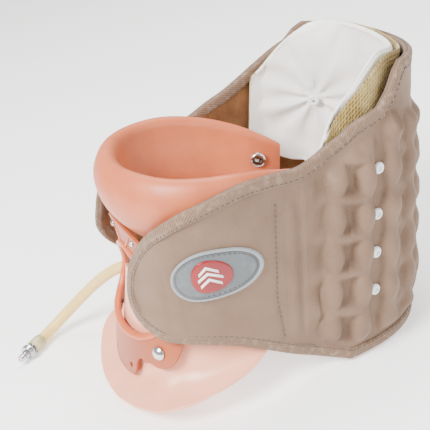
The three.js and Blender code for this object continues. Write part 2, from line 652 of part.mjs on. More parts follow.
// ---- assembly --------------------------------------------------------------------------------
function cupWithEyeletHoles() {
  const tools = [-1, 1].map((side) => eyeletTool(side, 4.6, EYELET.radius + GAP));
  return cut(chinCup(), ...tools);
}
function eyeletAxis(side) {
  return { centre: v3(side * 41.6, EYELET.y, EYELET.z), outwards: v3(side, 0.45, 0).normalize() };
}
function eyeletTool(side, bore, flange) {
  const { centre, outwards } = eyeletAxis(side);
  return turned([[0, -8], [flange, -8], [flange, 1.4], [bore, 1.4], [bore, 30], [0, 30]], centre, outwards, 16);
}
function eyelet(side) {
  const { centre, outwards } = eyeletAxis(side);
  const { radius, bore } = EYELET;
  const profile = [[bore, -0.4], [radius, -0.4], [radius, 0.9], [bore + 1, 0.9], [bore + 1, 9], [bore, 9],
    [bore, -0.4]];
  return turned(profile, centre, outwards, 16);
}

add('chin_cup', cupWithEyeletHoles(), eva);
add('left_arm_eyelet', eyelet(1), chrome);
add('right_arm_eyelet', eyelet(-1), chrome);
add('front_frame', frontFrame(), salmonPlastic);
add('chest_plate', chestPlate(), pinkPlastic);
add('left_frame_rivet', rivet(1), chrome);
add('right_frame_rivet', rivet(-1), chrome);
add('left_cup_pin', cupPin(1), chrome);
add('right_cup_pin', cupPin(-1), chrome);

buildRear();
range(CELL.count).forEach((k) => add(`air_cell_${String(k + 1).padStart(2, '0')}`, airCell(k), beigeFabric));
const snapColumn = (cellAt(1) + cellAt(2)) / 2;
SNAP.levels.forEach((z, i) => {
  add(`left_snap_${i + 1}`, snap(snapColumn, z), whitePlastic);
  add(`right_snap_${i + 1}`, snap(1 - snapColumn, z), whitePlastic);
});

const leftWing = buildWing('left', nearUpper, nearLower, 1);
const rightWing = buildWing('right', farUpper, farLower, -1);
add('left_hook_patch', hookPatch(leftWing), stayPlastic);
add('badge_patch', badge(leftWing, BADGE.width / 2, BADGE.height / 2, -3 * GAP, -3 * GAP - BADGE.thick), greyPatch);
add('badge_emblem', badge(leftWing, 14, 14, -BADGE.thick - 4 * GAP, -BADGE.thick - 2.3), redEnamel);

add('pad_mesh_back', padLayer(0, null, PAD.meshBack), goldMesh);
add('head_pad', padLayer(2 * GAP, PAD.meshBack, PAD.cushion), whiteLeatherette);
add('pad_button', padButton(145, 176), whitePlastic);
add('hose_inlet', hoseInlet(), whitePlastic);

const collar = new THREE.Group();
collar.add(...parts);
collar.rotation.x = THREE.MathUtils.degToRad(-LEAN);
collar.position.set(0, 0, STAND[2]);

const onTable = new THREE.Group();
onTable.add(collar);
parts.length = 0;
add('air_hose', hose(), latex);
add('hose_sleeve', onCoupling([[0, GAP], [5, GAP], [6.2, 4], [6.2, 13], [0, 13]], 12), sleeveVinyl);
add('coupling_body', onCoupling(couplingBody, 12), chrome);
add('coupling_collar', onCoupling(couplingCollar, 14), chrome);
onTable.add(...parts);
onTable.position.set(STAND[0], STAND[1], 0);

export default onTable;
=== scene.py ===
"""Looks of an inflatable neck traction collar that lies on a table.

The packed collar is loaded as a fixed frame. Every soft or moulded piece is then built in finer detail in the
same place, in metres. The collar is laid out upright in millimetres (+X is the wearer's left, -Y the front) and
placed() leans it back onto the table.
"""

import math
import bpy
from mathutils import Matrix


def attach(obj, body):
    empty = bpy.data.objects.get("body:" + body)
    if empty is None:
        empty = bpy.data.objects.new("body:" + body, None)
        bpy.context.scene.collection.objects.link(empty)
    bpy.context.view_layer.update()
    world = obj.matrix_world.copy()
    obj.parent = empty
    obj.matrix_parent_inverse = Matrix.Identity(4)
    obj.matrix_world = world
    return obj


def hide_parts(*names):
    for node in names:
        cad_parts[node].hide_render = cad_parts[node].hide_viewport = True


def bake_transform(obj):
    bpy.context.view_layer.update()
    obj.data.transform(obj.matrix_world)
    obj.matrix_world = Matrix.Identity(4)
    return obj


bl_info = {
    "name": "Neck traction collar",
    "version": (1, 0, 0),
    "blender": (4, 5, 0),
    "location": "3D View > Sidebar > Collar",
    "description": "Builds an inflatable neck traction collar piece by piece on its packed frame",
    "category": "Object",
}

import bmesh
import bpy
from mathutils import Matrix, Vector, noise
from mathutils.geometry import delaunay_2d_cdt

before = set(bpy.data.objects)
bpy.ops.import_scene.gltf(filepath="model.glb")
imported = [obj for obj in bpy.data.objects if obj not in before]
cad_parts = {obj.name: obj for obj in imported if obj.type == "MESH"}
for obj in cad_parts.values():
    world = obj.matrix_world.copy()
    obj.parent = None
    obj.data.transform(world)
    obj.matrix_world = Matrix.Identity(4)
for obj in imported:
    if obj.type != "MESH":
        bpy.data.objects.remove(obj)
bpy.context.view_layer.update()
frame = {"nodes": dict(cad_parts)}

UP = Vector((0, 0, 1))
LEAN = math.radians(13.5)
SIDES = {"left": 1, "right": -1}


# ---- numbers and curves ------------------------------------------------------------------------
def lerp(a, b, t):
    return a + (b - a) * t


def clamp(value, low=0.0, high=1.0):
    return max(low, min(high, value))


def ease(value, low, high):
    """0 below low, 1 above high, smooth in between."""
    t = clamp((value - low) / (high - low))
    return t * t * (3 - 2 * t)


def fractions(count):
    return [i / count for i in range(count + 1)]


def lookup(table, key):
    """Linear lookup in rows of (key, value, value...)."""
    if key <= table[0][0]:
        return table[0][1:]
    for low, high in zip(table, table[1:]):
        if key <= high[0]:
            t = (key - low[0]) / (high[0] - low[0])
            return tuple(lerp(a, b, t) for a, b in zip(low[1:], high[1:]))
    return table[-1][1:]


def curve_point(points, t):
    """Point at fraction t of a centripetal Catmull-Rom curve through the points."""
    spans = len(points) - 1
    i = min(int(t * spans), spans - 1)
    s = t * spans - i
    p1, p2 = points[i], points[i + 1]
    p0 = points[i - 1] if i else p1 * 2 - p2
    p3 = points[i + 2] if i + 2 <= spans else p2 * 2 - p1
    d0, d1, d2 = (max((b - a).length ** 0.5, 1e-4) for a, b in ((p0, p1), (p1, p2), (p2, p3)))
    m1 = ((p1 - p0) / d0 - (p2 - p0) / (d0 + d1) + (p2 - p1) / d1) * d1
    m2 = ((p2 - p1) / d1 - (p3 - p1) / (d1 + d2) + (p3 - p2) / d2) * d1
    return p1 + m1 * s + (p2 * 3 - p1 * 3 - m1 * 2 - m2) * s ** 2 + (p1 * 2 - p2 * 2 + m1 + m2) * s ** 3


def evenly(points, count):
    """The polyline resampled at count + 1 points of equal spacing."""
    lengths = [0.0]
    for a, b in zip(points, points[1:]):
        lengths.append(lengths[-1] + (b - a).length)
    out, i = [], 0
    for t in fractions(count):
        want = t * lengths[-1]
        while i < len(points) - 2 and lengths[i + 1] < want:
            i += 1
        span = max(lengths[i + 1] - lengths[i], 1e-9)
        out.append(points[i].lerp(points[i + 1], clamp((want - lengths[i]) / span)))
    return out


def smooth_curve(points, count):
    return evenly([curve_point(points, t) for t in fractions(12 * len(points))], count)


def placed(point):
    """A point of the upright collar, in millimetres, where it is on the table, in metres."""
    c, s = math.cos(LEAN), math.sin(LEAN)
    return Vector((point.x, point.y * c + point.z * s - 5, point.z * c - point.y * s + 1.8)) / 1000


def turned_to_table(direction):
    return placed(direction) - placed(Vector((0, 0, 0)))


def vectors(rows, side=1):
    return [Vector((side * x, y, z)) for x, y, z in rows]


# ---- meshes ------------------------------------------------------------------------------------
def mesh_piece(name, points, faces, flat=None):
    """An object from points in metres. flat gives each point its place on the unrolled material, in metres."""
    mesh = bpy.data.meshes.new(name)
    mesh.from_pydata([tuple(p) for p in points], [], faces)
    mesh.validate()
    mesh.shade_smooth()
    if flat:
        layer = mesh.uv_layers.new(name="flat")
        for loop in mesh.loops:
            layer.data[loop.index].uv = flat[loop.vertex_index]
    made = bpy.data.objects.new(name, mesh)
    bpy.context.scene.collection.objects.link(made)
    return made


def grid_faces(rows, cols, wrap_rows=False, wrap_cols=False):
    faces = []
    for i in range(rows if wrap_rows else rows - 1):
        for j in range(cols if wrap_cols else cols - 1):
            a, b = i * cols + j, i * cols + (j + 1) % cols
            c, d = (i + 1) % rows * cols + (j + 1) % cols, (i + 1) % rows * cols + j
            faces.append((a, b, c, d))
    return faces


def flat_places(grid):
    """Running distances along and across a grid of points."""
    middle = len(grid[0]) // 2
    along, out = 0.0, []
    for i, row in enumerate(grid):
        along += (row[middle] - grid[i - 1][middle]).length if i else 0
        across = -sum((b - a).length for a, b in zip(row[:middle], row[1:middle + 1]))
        for j, p in enumerate(row):
            across += (p - row[j - 1]).length if j else 0
            out.append((along, across))
    return out


def surface_piece(name, grid):
    """An open sheet through a grid of points in metres."""
    points = [p for row in grid for p in row]
    return mesh_piece(name, points, grid_faces(len(grid), len(grid[0])), flat_places(grid))


def tube_piece(name, rings, closed=False):
    """A body through rings of points in metres."""
    rows, cols = len(rings), len(rings[0])
    points = [p for ring in rings for p in ring]
    faces = grid_faces(rows, cols, wrap_rows=closed, wrap_cols=True)
    flat = flat_places(rings)
    if not closed:
        faces += [tuple(reversed(range(cols))), tuple((rows - 1) * cols + j for j in range(cols))]
    made = mesh_piece(name, points, faces, flat)
    outwards(made)
    return made


def outwards(piece):
    """Turns the faces of a closed body so that they point out."""
    body = bmesh.new()
    body.from_mesh(piece.data)
    bmesh.ops.recalc_face_normals(body, faces=body.faces)
    body.to_mesh(piece.data)
    body.free()


def lathe_piece(name, profile, origin, axis, segments=48):
    """A turned body. Profile: (radius, height) in millimetres; origin in metres; axis a direction on the table."""
    turn = UP.rotation_difference(axis.normalized())
    rings = []
    for k in range(segments):
        a = 2 * math.pi * k / segments
        rings.append([
            origin + turn @ Vector((r * math.cos(a), r * math.sin(a), h)) / 1000 for r, h in profile
        ])
    points = [p for ring in rings for p in ring]
    flat = [(k / segments * 0.02, j * 0.001) for k in range(segments) for j in range(len(profile))]
    made = mesh_piece(name, points, grid_faces(segments, len(profile), wrap_rows=True), flat)
    body = bmesh.new()
    body.from_mesh(made.data)
    bmesh.ops.remove_doubles(body, verts=body.verts, dist=1e-6)
    bmesh.ops.recalc_face_normals(body, faces=body.faces)
    body.to_mesh(made.data)
    body.free()
    made.data.shade_smooth()
    made.data.set_sharp_from_angle(angle=math.radians(50))
    return made


def swept(points, normals, section, across_sign):
    """Rings of a section carried along points: its first number runs across, its second along the normal."""
    rings = []
    count = len(points)
    for i, p in enumerate(points):
        ahead, behind = points[min(i + 1, count - 1)], points[max(i - 1, 0)]
        across = (ahead - behind).cross(normals[i]).normalized() * across_sign
        rings.append([p + across * w + normals[i] * h for w, h in section(i)])
    return rings


def baked(piece):
    """The piece's modifiers made part of its mesh."""
    graph = bpy.context.evaluated_depsgraph_get()
    graph.update()
    mesh = bpy.data.meshes.new_from_object(piece.evaluated_get(graph))
    piece.modifiers.clear()
    old = piece.data
    piece.data = mesh
    bpy.data.meshes.remove(old)
    return piece


def subdivided(piece):
    modifier = piece.modifiers.new("Smooth", "SUBSURF")
    modifier.levels = modifier.render_levels = 1
    return baked(piece)


def round_ring(centre, side, up, radius, count=16):
    return [
        centre + (side * math.cos(2 * math.pi * k / count) + up * math.sin(2 * math.pi * k / count)) * radius
        for k in range(count)
    ]


# ---- materials ---------------------------------------------------------------------------------
def hex_colour(text):
    """A #rrggbb colour as linear values."""
    parts = [int(text[i:i + 2], 16) / 255 for i in (1, 3, 5)]
    return (*[c / 12.92 if c <= 0.04045 else ((c + 0.055) / 1.055) ** 2.4 for c in parts], 1)


def add_node(tree, kind, inputs=(), **settings):
    """A node with its settings; an input is a value or another node's output."""
    made = tree.nodes.new(kind)
    for name, value in settings.items():
        setattr(made, name, value)
    for socket, value in dict(inputs).items():
        if isinstance(value, bpy.types.NodeSocket):
            tree.links.new(value, made.inputs[socket])
        else:
            made.inputs[socket].default_value = value
    return made


class Finish:
    """A material in the making: its node tree, its shader and the running colour and height."""

    def __init__(self, name, roughness, **shader):
        self.material = bpy.data.materials.new(name)
        self.material.use_nodes = True
        self.tree = self.material.node_tree
        self.shader = self.tree.nodes["Principled BSDF"]
        self.shader.inputs["Roughness"].default_value = roughness
        for socket, value in shader.items():
            self.shader.inputs[socket.replace("_", " ")].default_value = value
        self.flat = add_node(self.tree, "ShaderNodeUVMap").outputs["UV"]
        self.place = add_node(self.tree, "ShaderNodeTexCoord").outputs["Object"]
        self.normal = None

    def noise(self, scale, detail=3.0, on_flat=False):
        """Value noise; scale is in features per metre."""
        where = self.flat if on_flat else self.place
        inputs = {"Vector": where, "Scale": scale, "Detail": detail}
        return add_node(self.tree, "ShaderNodeTexNoise", inputs).outputs["Fac"]

    def maths(self, operation, a, b=0.0):
        return add_node(self.tree, "ShaderNodeMath", {0: a, 1: b}, operation=operation).outputs[0]

    def bands(self, pitch, angle=0.0, along="X"):
        """Soft parallel bands on the unrolled material, a pitch in metres apart."""
        turn = add_node(self.tree, "ShaderNodeMapping", {"Vector": self.flat, "Rotation": (0, 0, angle)}).outputs[0]
        wave = add_node(self.tree, "ShaderNodeTexWave", {"Vector": turn, "Scale": 0.314 / pitch}, bands_direction=along)
        return wave.outputs["Fac"]

    def ramp(self, value, low, high):
        return add_node(self.tree, "ShaderNodeMapRange", {"Value": value, "From Min": low, "From Max": high}).outputs[0]

    def colours(self, value, first, second, low=0.3, high=0.7):
        """Colour between two hex colours, or from an earlier colour to a hex one, by a value."""
        inputs = {"Factor": self.ramp(value, low, high), "B": hex_colour(second)}
        inputs["A"] = hex_colour(first) if isinstance(first, str) else first
        mix = self.tree.nodes.new("ShaderNodeMix")
        mix.data_type = "RGBA"
        for socket, key in ((0, "Factor"), (6, "A"), (7, "B")):
            if isinstance(inputs[key], bpy.types.NodeSocket):
                self.tree.links.new(inputs[key], mix.inputs[socket])
            else:
                mix.inputs[socket].default_value = inputs[key]
        return mix.outputs[2]

    def bump(self, height, depth, strength=1.0):
        """Adds relief of a depth in metres."""
        inputs = {"Height": height, "Distance": depth, "Strength": strength}
        if self.normal:
            inputs["Normal"] = self.normal
        self.normal = add_node(self.tree, "ShaderNodeBump", inputs).outputs[0]

    def rough(self, value, low, high):
        spread = add_node(self.tree, "ShaderNodeMapRange", {"Value": value, "To Min": low, "To Max": high}).outputs[0]
        self.tree.links.new(spread, self.shader.inputs["Roughness"])

    def done(self, colour):
        if isinstance(colour, bpy.types.NodeSocket):
            self.tree.links.new(colour, self.shader.inputs["Base Color"])
        else:
            self.shader.inputs["Base Color"].default_value = hex_colour(colour)
        if self.normal:
            self.tree.links.new(self.normal, self.shader.inputs["Normal"])
        return self.material


def eva_foam(colour):
    """Compression-moulded EVA foam: a satin skin with faint mottling and a pebble too fine to see as dots."""
    f = Finish("moulded_eva_foam", 0.42, Subsurface_Weight=0.06, Specular_IOR_Level=0.45)
    f.shader.inputs["Subsurface Scale"].default_value = 0.004
    mottle = f.noise(38, 4)
    f.rough(mottle, 0.36, 0.5)
    f.bump(f.noise(1500, 2), 0.00012, 0.35)
    f.bump(f.noise(60, 2), 0.0006, 0.25)
    return f.done(f.colours(mottle, colour, "#b75c37"))


def moulded_plastic(name, colour, deeper, roughness):
    """Injection-moulded plastic: smooth with slow flow mottling, fine scuffs in the gloss."""
    f = Finish(name, roughness, Specular_IOR_Level=0.5, Subsurface_Weight=0.04)
    f.shader.inputs["Subsurface Scale"].default_value = 0.003
    mottle = f.noise(22, 3)
    scuffs = f.noise(420, 5)
    f.rough(scuffs, roughness - 0.07, roughness + 0.09)
    f.bump(scuffs, 0.00006, 0.4)
    return f.done(f.colours(mottle, colour, deeper, 0.35, 0.75))


def brushed_fabric(colour):
    """Peach-skin polyester over foam: soft sheen, fine weave (drawn at 1.3 mm instead of 0.4), faint soiling."""
    f = Finish("brushed_polyester_cover", 0.62, Sheen_Weight=0.1, Sheen_Roughness=0.4, Specular_IOR_Level=0.4)
    f.shader.inputs["Sheen Tint"].default_value = hex_colour("#f2e6da")
    cloud = f.noise(26, 4)
    weave = f.maths("MULTIPLY", f.bands(0.0013), f.bands(0.0013, along="Y"))
    shade = f.colours(cloud, colour, "#674f3d", 0.35, 0.75)
    shade = f.colours(f.noise(900, 2, on_flat=True), shade, "#8d7461", 0.55, 1.1)
    f.rough(cloud, 0.54, 0.72)
    f.bump(f.noise(120, 3), 0.0006, 0.35)
    f.bump(weave, 0.00012, 0.5)
    return f.done(shade)


def twill_tape(colour):
    """Folded twill binding: diagonal ribs 1.7 mm apart, matt with a slight sheen."""
    f = Finish("twill_binding_tape", 0.7, Sheen_Weight=0.1, Specular_IOR_Level=0.25)
    ribs = f.bands(0.0017, math.radians(52))
    # painted shade: the low parts of the ribs, the grooves, are coloured darker
    shade = f.colours(ribs, "#665040", colour, 0.15, 0.75)
    shade = f.colours(f.noise(220, 3), shade, "#a08a78", 0.5, 1.0)
    f.bump(ribs, 0.0003, 0.75)
    return f.done(shade)


def napped_lining(colour):
    """Brushed loop lining: brown nap with soft clumps and a strong sheen."""
    f = Finish("brushed_loop_lining", 0.9, Sheen_Weight=0.2, Sheen_Roughness=0.5, Specular_IOR_Level=0.15)
    clumps = f.noise(700, 4)
    shade = f.colours(f.noise(40, 3), colour, "#855d38")
    shade = f.colours(clumps, shade, "#49301a", 0.5, 0.95)
    f.bump(clumps, 0.0007, 0.6)
    return f.done(shade)


def sewing_thread(colour):
    """Polyester sewing thread, slightly glossy, two-ply twist."""
    f = Finish("sewing_thread", 0.5, Sheen_Weight=0.2)
    return f.done(f.colours(f.noise(900), colour, "#3b3028"))


def leatherette(colour):
    """White PVC leatherette: pebbled grain 1.2 mm across, soft gloss, greyer in the creases."""
    f = Finish("white_leatherette", 0.42, Specular_IOR_Level=0.5, Coat_Weight=0.08, Subsurface_Weight=0.03)
    f.shader.inputs["Subsurface Scale"].default_value = 0.002
    cells = add_node(f.tree, "ShaderNodeTexVoronoi", {"Vector": f.place, "Scale": 850}, feature="DISTANCE_TO_EDGE")
    f.bump(f.ramp(cells.outputs["Distance"], 0, 0.12), 0.00012, 0.4)
    f.bump(f.noise(90, 3), 0.0007, 0.3)
    f.rough(f.noise(60), 0.36, 0.5)
    # painted shade: soft grey patches from noise stand for the shade in the creases
    return f.done(f.colours(f.noise(30), colour, "#e4e1da"))


def spacer_mesh(colour):
    """Knitted spacer mesh: rows of open cells 3.4 mm apart with light raised yarns round darker holes."""
    f = Finish("knitted_spacer_mesh", 0.7, Sheen_Weight=0.3, Specular_IOR_Level=0.3)
    cells = add_node(f.tree, "ShaderNodeTexVoronoi", {"Vector": f.flat, "Scale": 294, "Randomness": 0.18})
    hole = f.ramp(cells.outputs["Distance"], 0.22, 0.48)
    # painted shade: the holes are coloured dark where the depth inside them would be in shade
    shade = f.colours(hole, "#66501f", colour, 0.0, 1.0)
    shade = f.colours(f.noise(60), shade, "#dcc683", 0.45, 0.9)
    f.bump(hole, 0.0009, 0.9)
    f.bump(f.bands(0.0009, math.radians(35)), 0.0002, 0.4)
    return f.done(shade)


def woven_patch(colour):
    """Embroidered patch cloth: close twill in cool grey."""
    f = Finish("woven_grey_patch", 0.7, Sheen_Weight=0.25, Specular_IOR_Level=0.25)
    ribs = f.bands(0.0009, math.radians(40))
    f.bump(ribs, 0.00008, 0.4)
    # painted shade: the grooves between the ribs are coloured a little darker
    shade = f.colours(ribs, "#5a5e61", colour, -0.6, 0.8)
    return f.done(f.colours(f.noise(140), shade, "#75797c", 0.5, 1.0))


def soft_enamel(name, colour, deeper):
    """Moulded PVC emblem: even colour with a faint orange-peel gloss."""
    f = Finish(name, 0.4, Coat_Weight=0.15)
    f.bump(f.noise(700, 2), 0.0001, 0.4)
    return f.done(f.colours(f.noise(80), colour, deeper))


def chrome_plate(colour):
    """Chrome plating with handling haze and hairline scratches."""
    f = Finish("chrome_plate", 0.16, Metallic=1.0)
    haze = f.noise(500, 5)
    f.rough(haze, 0.08, 0.3)
    f.bump(haze, 0.00004, 0.3)
    return f.done(f.colours(f.noise(90), colour, "#a8a9ad"))


def latex_rubber(colour):
    """Pale latex tube: slightly see-through yellow, satin with dust bloom."""
    f = Finish("latex_hose", 0.35, Subsurface_Weight=0.25, Specular_IOR_Level=0.5)
    f.shader.inputs["Subsurface Scale"].default_value = 0.003
    f.shader.inputs["Subsurface Radius"].default_value = (1.0, 0.7, 0.3)
    bloom = f.noise(160, 4)
    f.rough(bloom, 0.28, 0.46)
    return f.done(f.colours(bloom, colour, "#dcc27c"))


def clear_vinyl(colour):
    """Shrink sleeve of clear vinyl over the hose end: yellowish, half see-through, glossy."""
    f = Finish("clear_vinyl_sleeve", 0.2, Transmission_Weight=0.35, Specular_IOR_Level=0.5)
    f.bump(f.noise(200, 2), 0.0003, 0.4)
    return f.done(f.colours(f.noise(120), colour, "#b9ae7d"))


def make_materials(looks):
    return {
        "eva": eva_foam(looks.eva),
        "salmon_plastic": moulded_plastic("salmon_moulded_plastic", looks.frame, "#9c4a27", 0.4),
        "bead": moulded_plastic("salmon_bead_plastic", "#c9663a", "#bd5b31", 0.33),
        "pink_plastic": moulded_plastic("pink_moulded_plastic", looks.plate, "#ec9f80", 0.3),
        "beige_fabric": brushed_fabric(looks.fabric),
        "binding_twill": twill_tape(looks.binding),
        "brown_lining": napped_lining(looks.lining),
        "thread": sewing_thread("#4f4135"),
        "dark_thread": sewing_thread("#2c2e31"),
        "white_leatherette": leatherette(looks.leatherette),
        "gold_mesh": spacer_mesh(looks.mesh),
        "white_plastic": moulded_plastic("white_acetal", "#edeff3", "#dfe3ea", 0.3),
        "grey_patch": woven_patch("#626669"),
        "patch_rim": woven_patch("#94989a"),
        "red_enamel": soft_enamel("red_pvc_emblem", "#8a0209", "#780107"),
        "white_enamel": soft_enamel("white_pvc_emblem", "#f0eeea", "#e3e0da"),
        "stay_plastic": moulded_plastic("grey_strip_plastic", "#bcb7ad", "#a9a398", 0.5),
        "chrome": chrome_plate("#d9dadc"),
        "latex": latex_rubber(looks.hose),
        "sleeve_vinyl": clear_vinyl("#d8cfa0"),
    }


MATERIALS = {}


def settle(piece, look, body=None, stands_for=(), wing=None):
    """Material, record slot, CAD nodes and body of a finished piece. wing: it crosses that wing's seam."""
    piece.data.materials.clear()
    piece.data.materials.append(MATERIALS[look])
    if stands_for:
        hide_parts(*stands_for)
    if wing:
        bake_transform(piece)
    else:
        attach(piece, body or "collar")
    return piece


# ---- the wrap's surface ------------------------------------------------------------------------
SEAM_Y, CENTRE_Y = -4, 30
TOP_PLAN, HEM_PLAN = (86, 71.5, 2.1), (94, 84, 2.5)
TOP_HEIGHT = [(-4, 181, 183.6), (8, 188, 192), (20, 197, 201), (41, 206, 216), (50, 217, 222), (57, 231, 232),
              (64, 238, 238), (90, 240, 240), (120, 240, 240)]
LINING_DEPTH = 4.4
CELLS, FIRST_CELL = 13, 0.036


def plan_point(plan, u):
    """A rounded plan outline; u runs from the left seam round the rear to the right seam."""
    half_width, half_depth, power = plan
    if u > 0.5:
        x, y = plan_point(plan, 1 - u)
        return -x, y
    if u < 0.11:
        return half_width, lerp(SEAM_Y, CENTRE_Y, u / 0.11)
    angle = math.pi * (u - 0.11) / 0.78
    c, s = math.cos(angle), math.sin(angle)
    size = (abs(c) ** power + s ** power) ** (-1 / power)
    return half_width * c * size, CENTRE_Y + half_depth * s * size


def rear_strip(u):
    """Lower end, upper end and outward normal of the wrap at a place round the rear."""
    hx, hy = plan_point(HEM_PLAN, u)
    tx, ty = plan_point(TOP_PLAN, u)
    ax, ay = plan_point(TOP_PLAN, min(u + 0.005, 1))
    bx, by = plan_point(TOP_PLAN, max(u - 0.005, 0))
    seamward = clamp((ty - SEAM_Y) / 30)
    bottom = Vector((lerp(math.copysign(86.6, hx), hx, seamward), hy, max(0.24 * hy, 11.4 - 0.21 * hy)))
    top = Vector((tx, ty, lookup(TOP_HEIGHT, ty)[0 if tx > 0 else 1]))
    return bottom, top, Vector((ay - by, bx - ax, 0)).normalized()


WING_EDGES = {
    "left": (
        [(86, -4.3, 180), (88.5, -24, 171), (92, -49, 169.5), (93.5, -72, 166.5), (91, -100.5, 156.2),
         (84.5, -114.5, 149), (70.4, -125, 136.5), (56.5, -130, 124.5), (43, -132.8, 110.4), (35, -133.8, 98.8),
         (29, -134.7, 86.8)],
        [(86.6, -4.3, 12.3), (87.3, -24, 18.7), (85.4, -43, 25.3), (82, -68, 32.8), (76.5, -94.6, 36.8),
         (68.5, -108, 36.7), (59, -117.8, 36.5), (48, -125.5, 40.5), (37.5, -130.5, 46.5), (30.5, -133.8, 55.8),
         (26.5, -134.8, 67.8)],
    ),
    "right": (
        [(86, -4.3, 183), (88.5, -22, 172), (92, -37, 160.5), (93.5, -56.5, 151.8), (93, -76.5, 147.3),
         (90.5, -95, 143), (83.5, -109, 135.5), (79.5, -118, 123.5), (76, -124, 111), (72.5, -127, 100)],
        [(86.6, -4.3, 12.3), (87.5, -22, 18.5), (86, -42, 26), (84.5, -62, 34), (83, -80, 41), (81, -95, 49),
         (78.5, -107, 57), (75.5, -117, 65), (73, -124, 73.5), (71.5, -128, 82)],
    ),
}


def wing_strips(name, half=104):
    side = SIDES[name]
    upper, lower = (vectors(rows, side) for rows in WING_EDGES[name])
    edge = upper + lower[::-1]
    samples = [curve_point(edge, t) for t in fractions(2 * half)]
    pairs = [(samples[2 * half - i], samples[i]) for i in range(half + 1)]
    middle = [(a + b) / 2 for a, b in pairs]
    strips = []
    for i, (bottom, top) in enumerate(pairs):
        run = middle[min(i + 4, half)] - middle[max(i - 4, 0)]
        normal = run.cross(UP) * -side
        normal.z = 0
        seamward = ease(i, 0, 12)
        normal = Vector((side, 0, 0)).lerp(normal.normalized(), seamward).normalized()
        strips.append((bottom, top, normal))
    return strips


def half_wrap(name):
    """Strips from the wing's tip over the seam to the middle of the back, with u for those behind the seam."""
    wing = [(b, t, n, None) for b, t, n in reversed(wing_strips(name)[3:])]
    rear = []
    for i in range(141):
        u = 0.5 * i / 140
        rear.append((*rear_strip(u if name == "left" else 1 - u), u))
    return wing + rear


def rear_place(u, z):
    """Point and outward normal of the wrap's outer surface at a place round the rear and a height."""
    bottom, top, normal = rear_strip(u)
    return bottom.lerp(top, (z - bottom.z) / (top.z - bottom.z)), normal


def wobble(p, size, seed=0.0):
    """Smooth noise between about -1 and 1, with features of a size in millimetres."""
    return noise.noise(Vector((p.x / size + seed, p.y / size, p.z / size)))


def cell_height(u, p, low, high):
    """How far the cover stands out over the air cells: upright ridges that swell and pinch, tied across the valleys."""
    along = (u - FIRST_CELL) / (1 - 2 * FIRST_CELL) * (CELLS - 1)
    cell = clamp(round(along), 0, CELLS - 1)
    off = abs(along - cell) * 24.4
    rearward = math.sin(math.pi * cell / (CELLS - 1))
    tall = lerp(9.6, 7.2, ease(rearward, 0.3, 0.8))
    pulse = 0.5 + 0.5 * math.cos(2 * math.pi * (p.z - 50 + 5 * wobble(p, 60, cell)) / 31)
    width = lerp(8.8, 6.6, pulse)
    ridge = max(0.0, 1 - (off / width) ** 2) ** 0.52
    swell = 1 - 0.34 * pulse ** 1.5
    tie = (0.8 if 0 < along < 1 else 0.3) * pulse ** 2.2
    if 1 < along < 2:
        tie = 0
    ends = ease(p.z, low + 9, low + 24) * (1 - ease(p.z, min(high - 19, 200) - 10, min(high - 19, 200) + 3))
    crumple = 0.8 * wobble(p, 9, 3.1) * ridge
    return ends * (tall * max(ridge * swell, tie) + crumple)


# Lines down a wing, upper then lower end, in y and z on the left side.
STITCH_LINE = [(34, -30), (69, -38), (151, -44)]
NARROW_STAY = [(38, -21), (146, -31)]
WIDE_STAY = [(35, -7), (158, -17)]
TIP_STAY = [(48, -108), (106, -119)]


def wing_height(p):
    """Relief of a wing: the stays press through the cover, with soft drags between them."""
    height = 0.0
    for line, half, tall in ((NARROW_STAY, 4.3, 1.5), (WIDE_STAY, 7.6, 2.1), (TIP_STAY, 4, 0.7)):
        off = abs(p.y - lookup(line, p.z)[0])
        inside = ease(p.z, line[0][0] - 4, line[0][0] + 6) * (1 - ease(p.z, line[-1][0] - 6, line[-1][0] + 6))
        height += tall * (1 - ease(off, half * 0.66, half)) * inside
    seam = abs(p.y - lookup(STITCH_LINE, p.z)[0])
    height -= 0.9 * (1 - ease(seam, 0.2, 2.6)) * ease(p.z, 28, 36) * (1 - ease(p.z, 150, 158))
    drag = wobble(Vector((p.x * 0.6, p.y * 0.5 + p.z * 0.3, p.z * 1.6)), 22, 7.0)
    return height + 0.55 * drag + 0.25 * wobble(p, 8, 1.0)


def wrap_grid(name, depth, rows, relief):
    grid = []
    for bottom, top, normal, u in half_wrap(name):
        tall = (top - bottom).length
        inset = min(3.2, tall * 0.45) / max(tall, 1e-6)
        row = []
        for r in fractions(rows):
            t = lerp(inset, 1 - inset, r)
            p = bottom.lerp(top, t)
            edge = min(t, 1 - t) * tall
            height = 0.0
            if relief:
                clear = ease(edge, 8.5, 15)
                if u is None:
                    height = wing_height(p) * clear
                else:
                    height = cell_height(u, p, bottom.z, top.z) * clear
                    height += 0.5 * wobble(p, 14, 5.0) * clear * ease(u, 0, 0.03)
                    height += wing_height(p) * clear * (1 - ease(p.y, SEAM_Y, SEAM_Y + 6))
            row.append(placed(p + normal * (height - depth)))
        grid.append(row)
    return grid


def make_cover(name):
    cover = surface_piece(f"{name}_cover", wrap_grid(name, 0.0, 110, True))
    cells = range(1, 8) if name == "left" else range(8, 14)
    nodes = [f"{name}_wing_cover", *(["back_cover"] if name == "left" else []), *(f"air_cell_{k:02d}" for k in cells)]
    settle(cover, "beige_fabric", stands_for=nodes, wing=name)


def make_lining(name):
    lining = surface_piece(f"{name}_lining", wrap_grid(name, LINING_DEPTH, 40, False))
    nodes = [f"{name}_wing_lining", *(["back_lining"] if name == "left" else [])]
    settle(lining, "brown_lining", stands_for=nodes, wing=name)


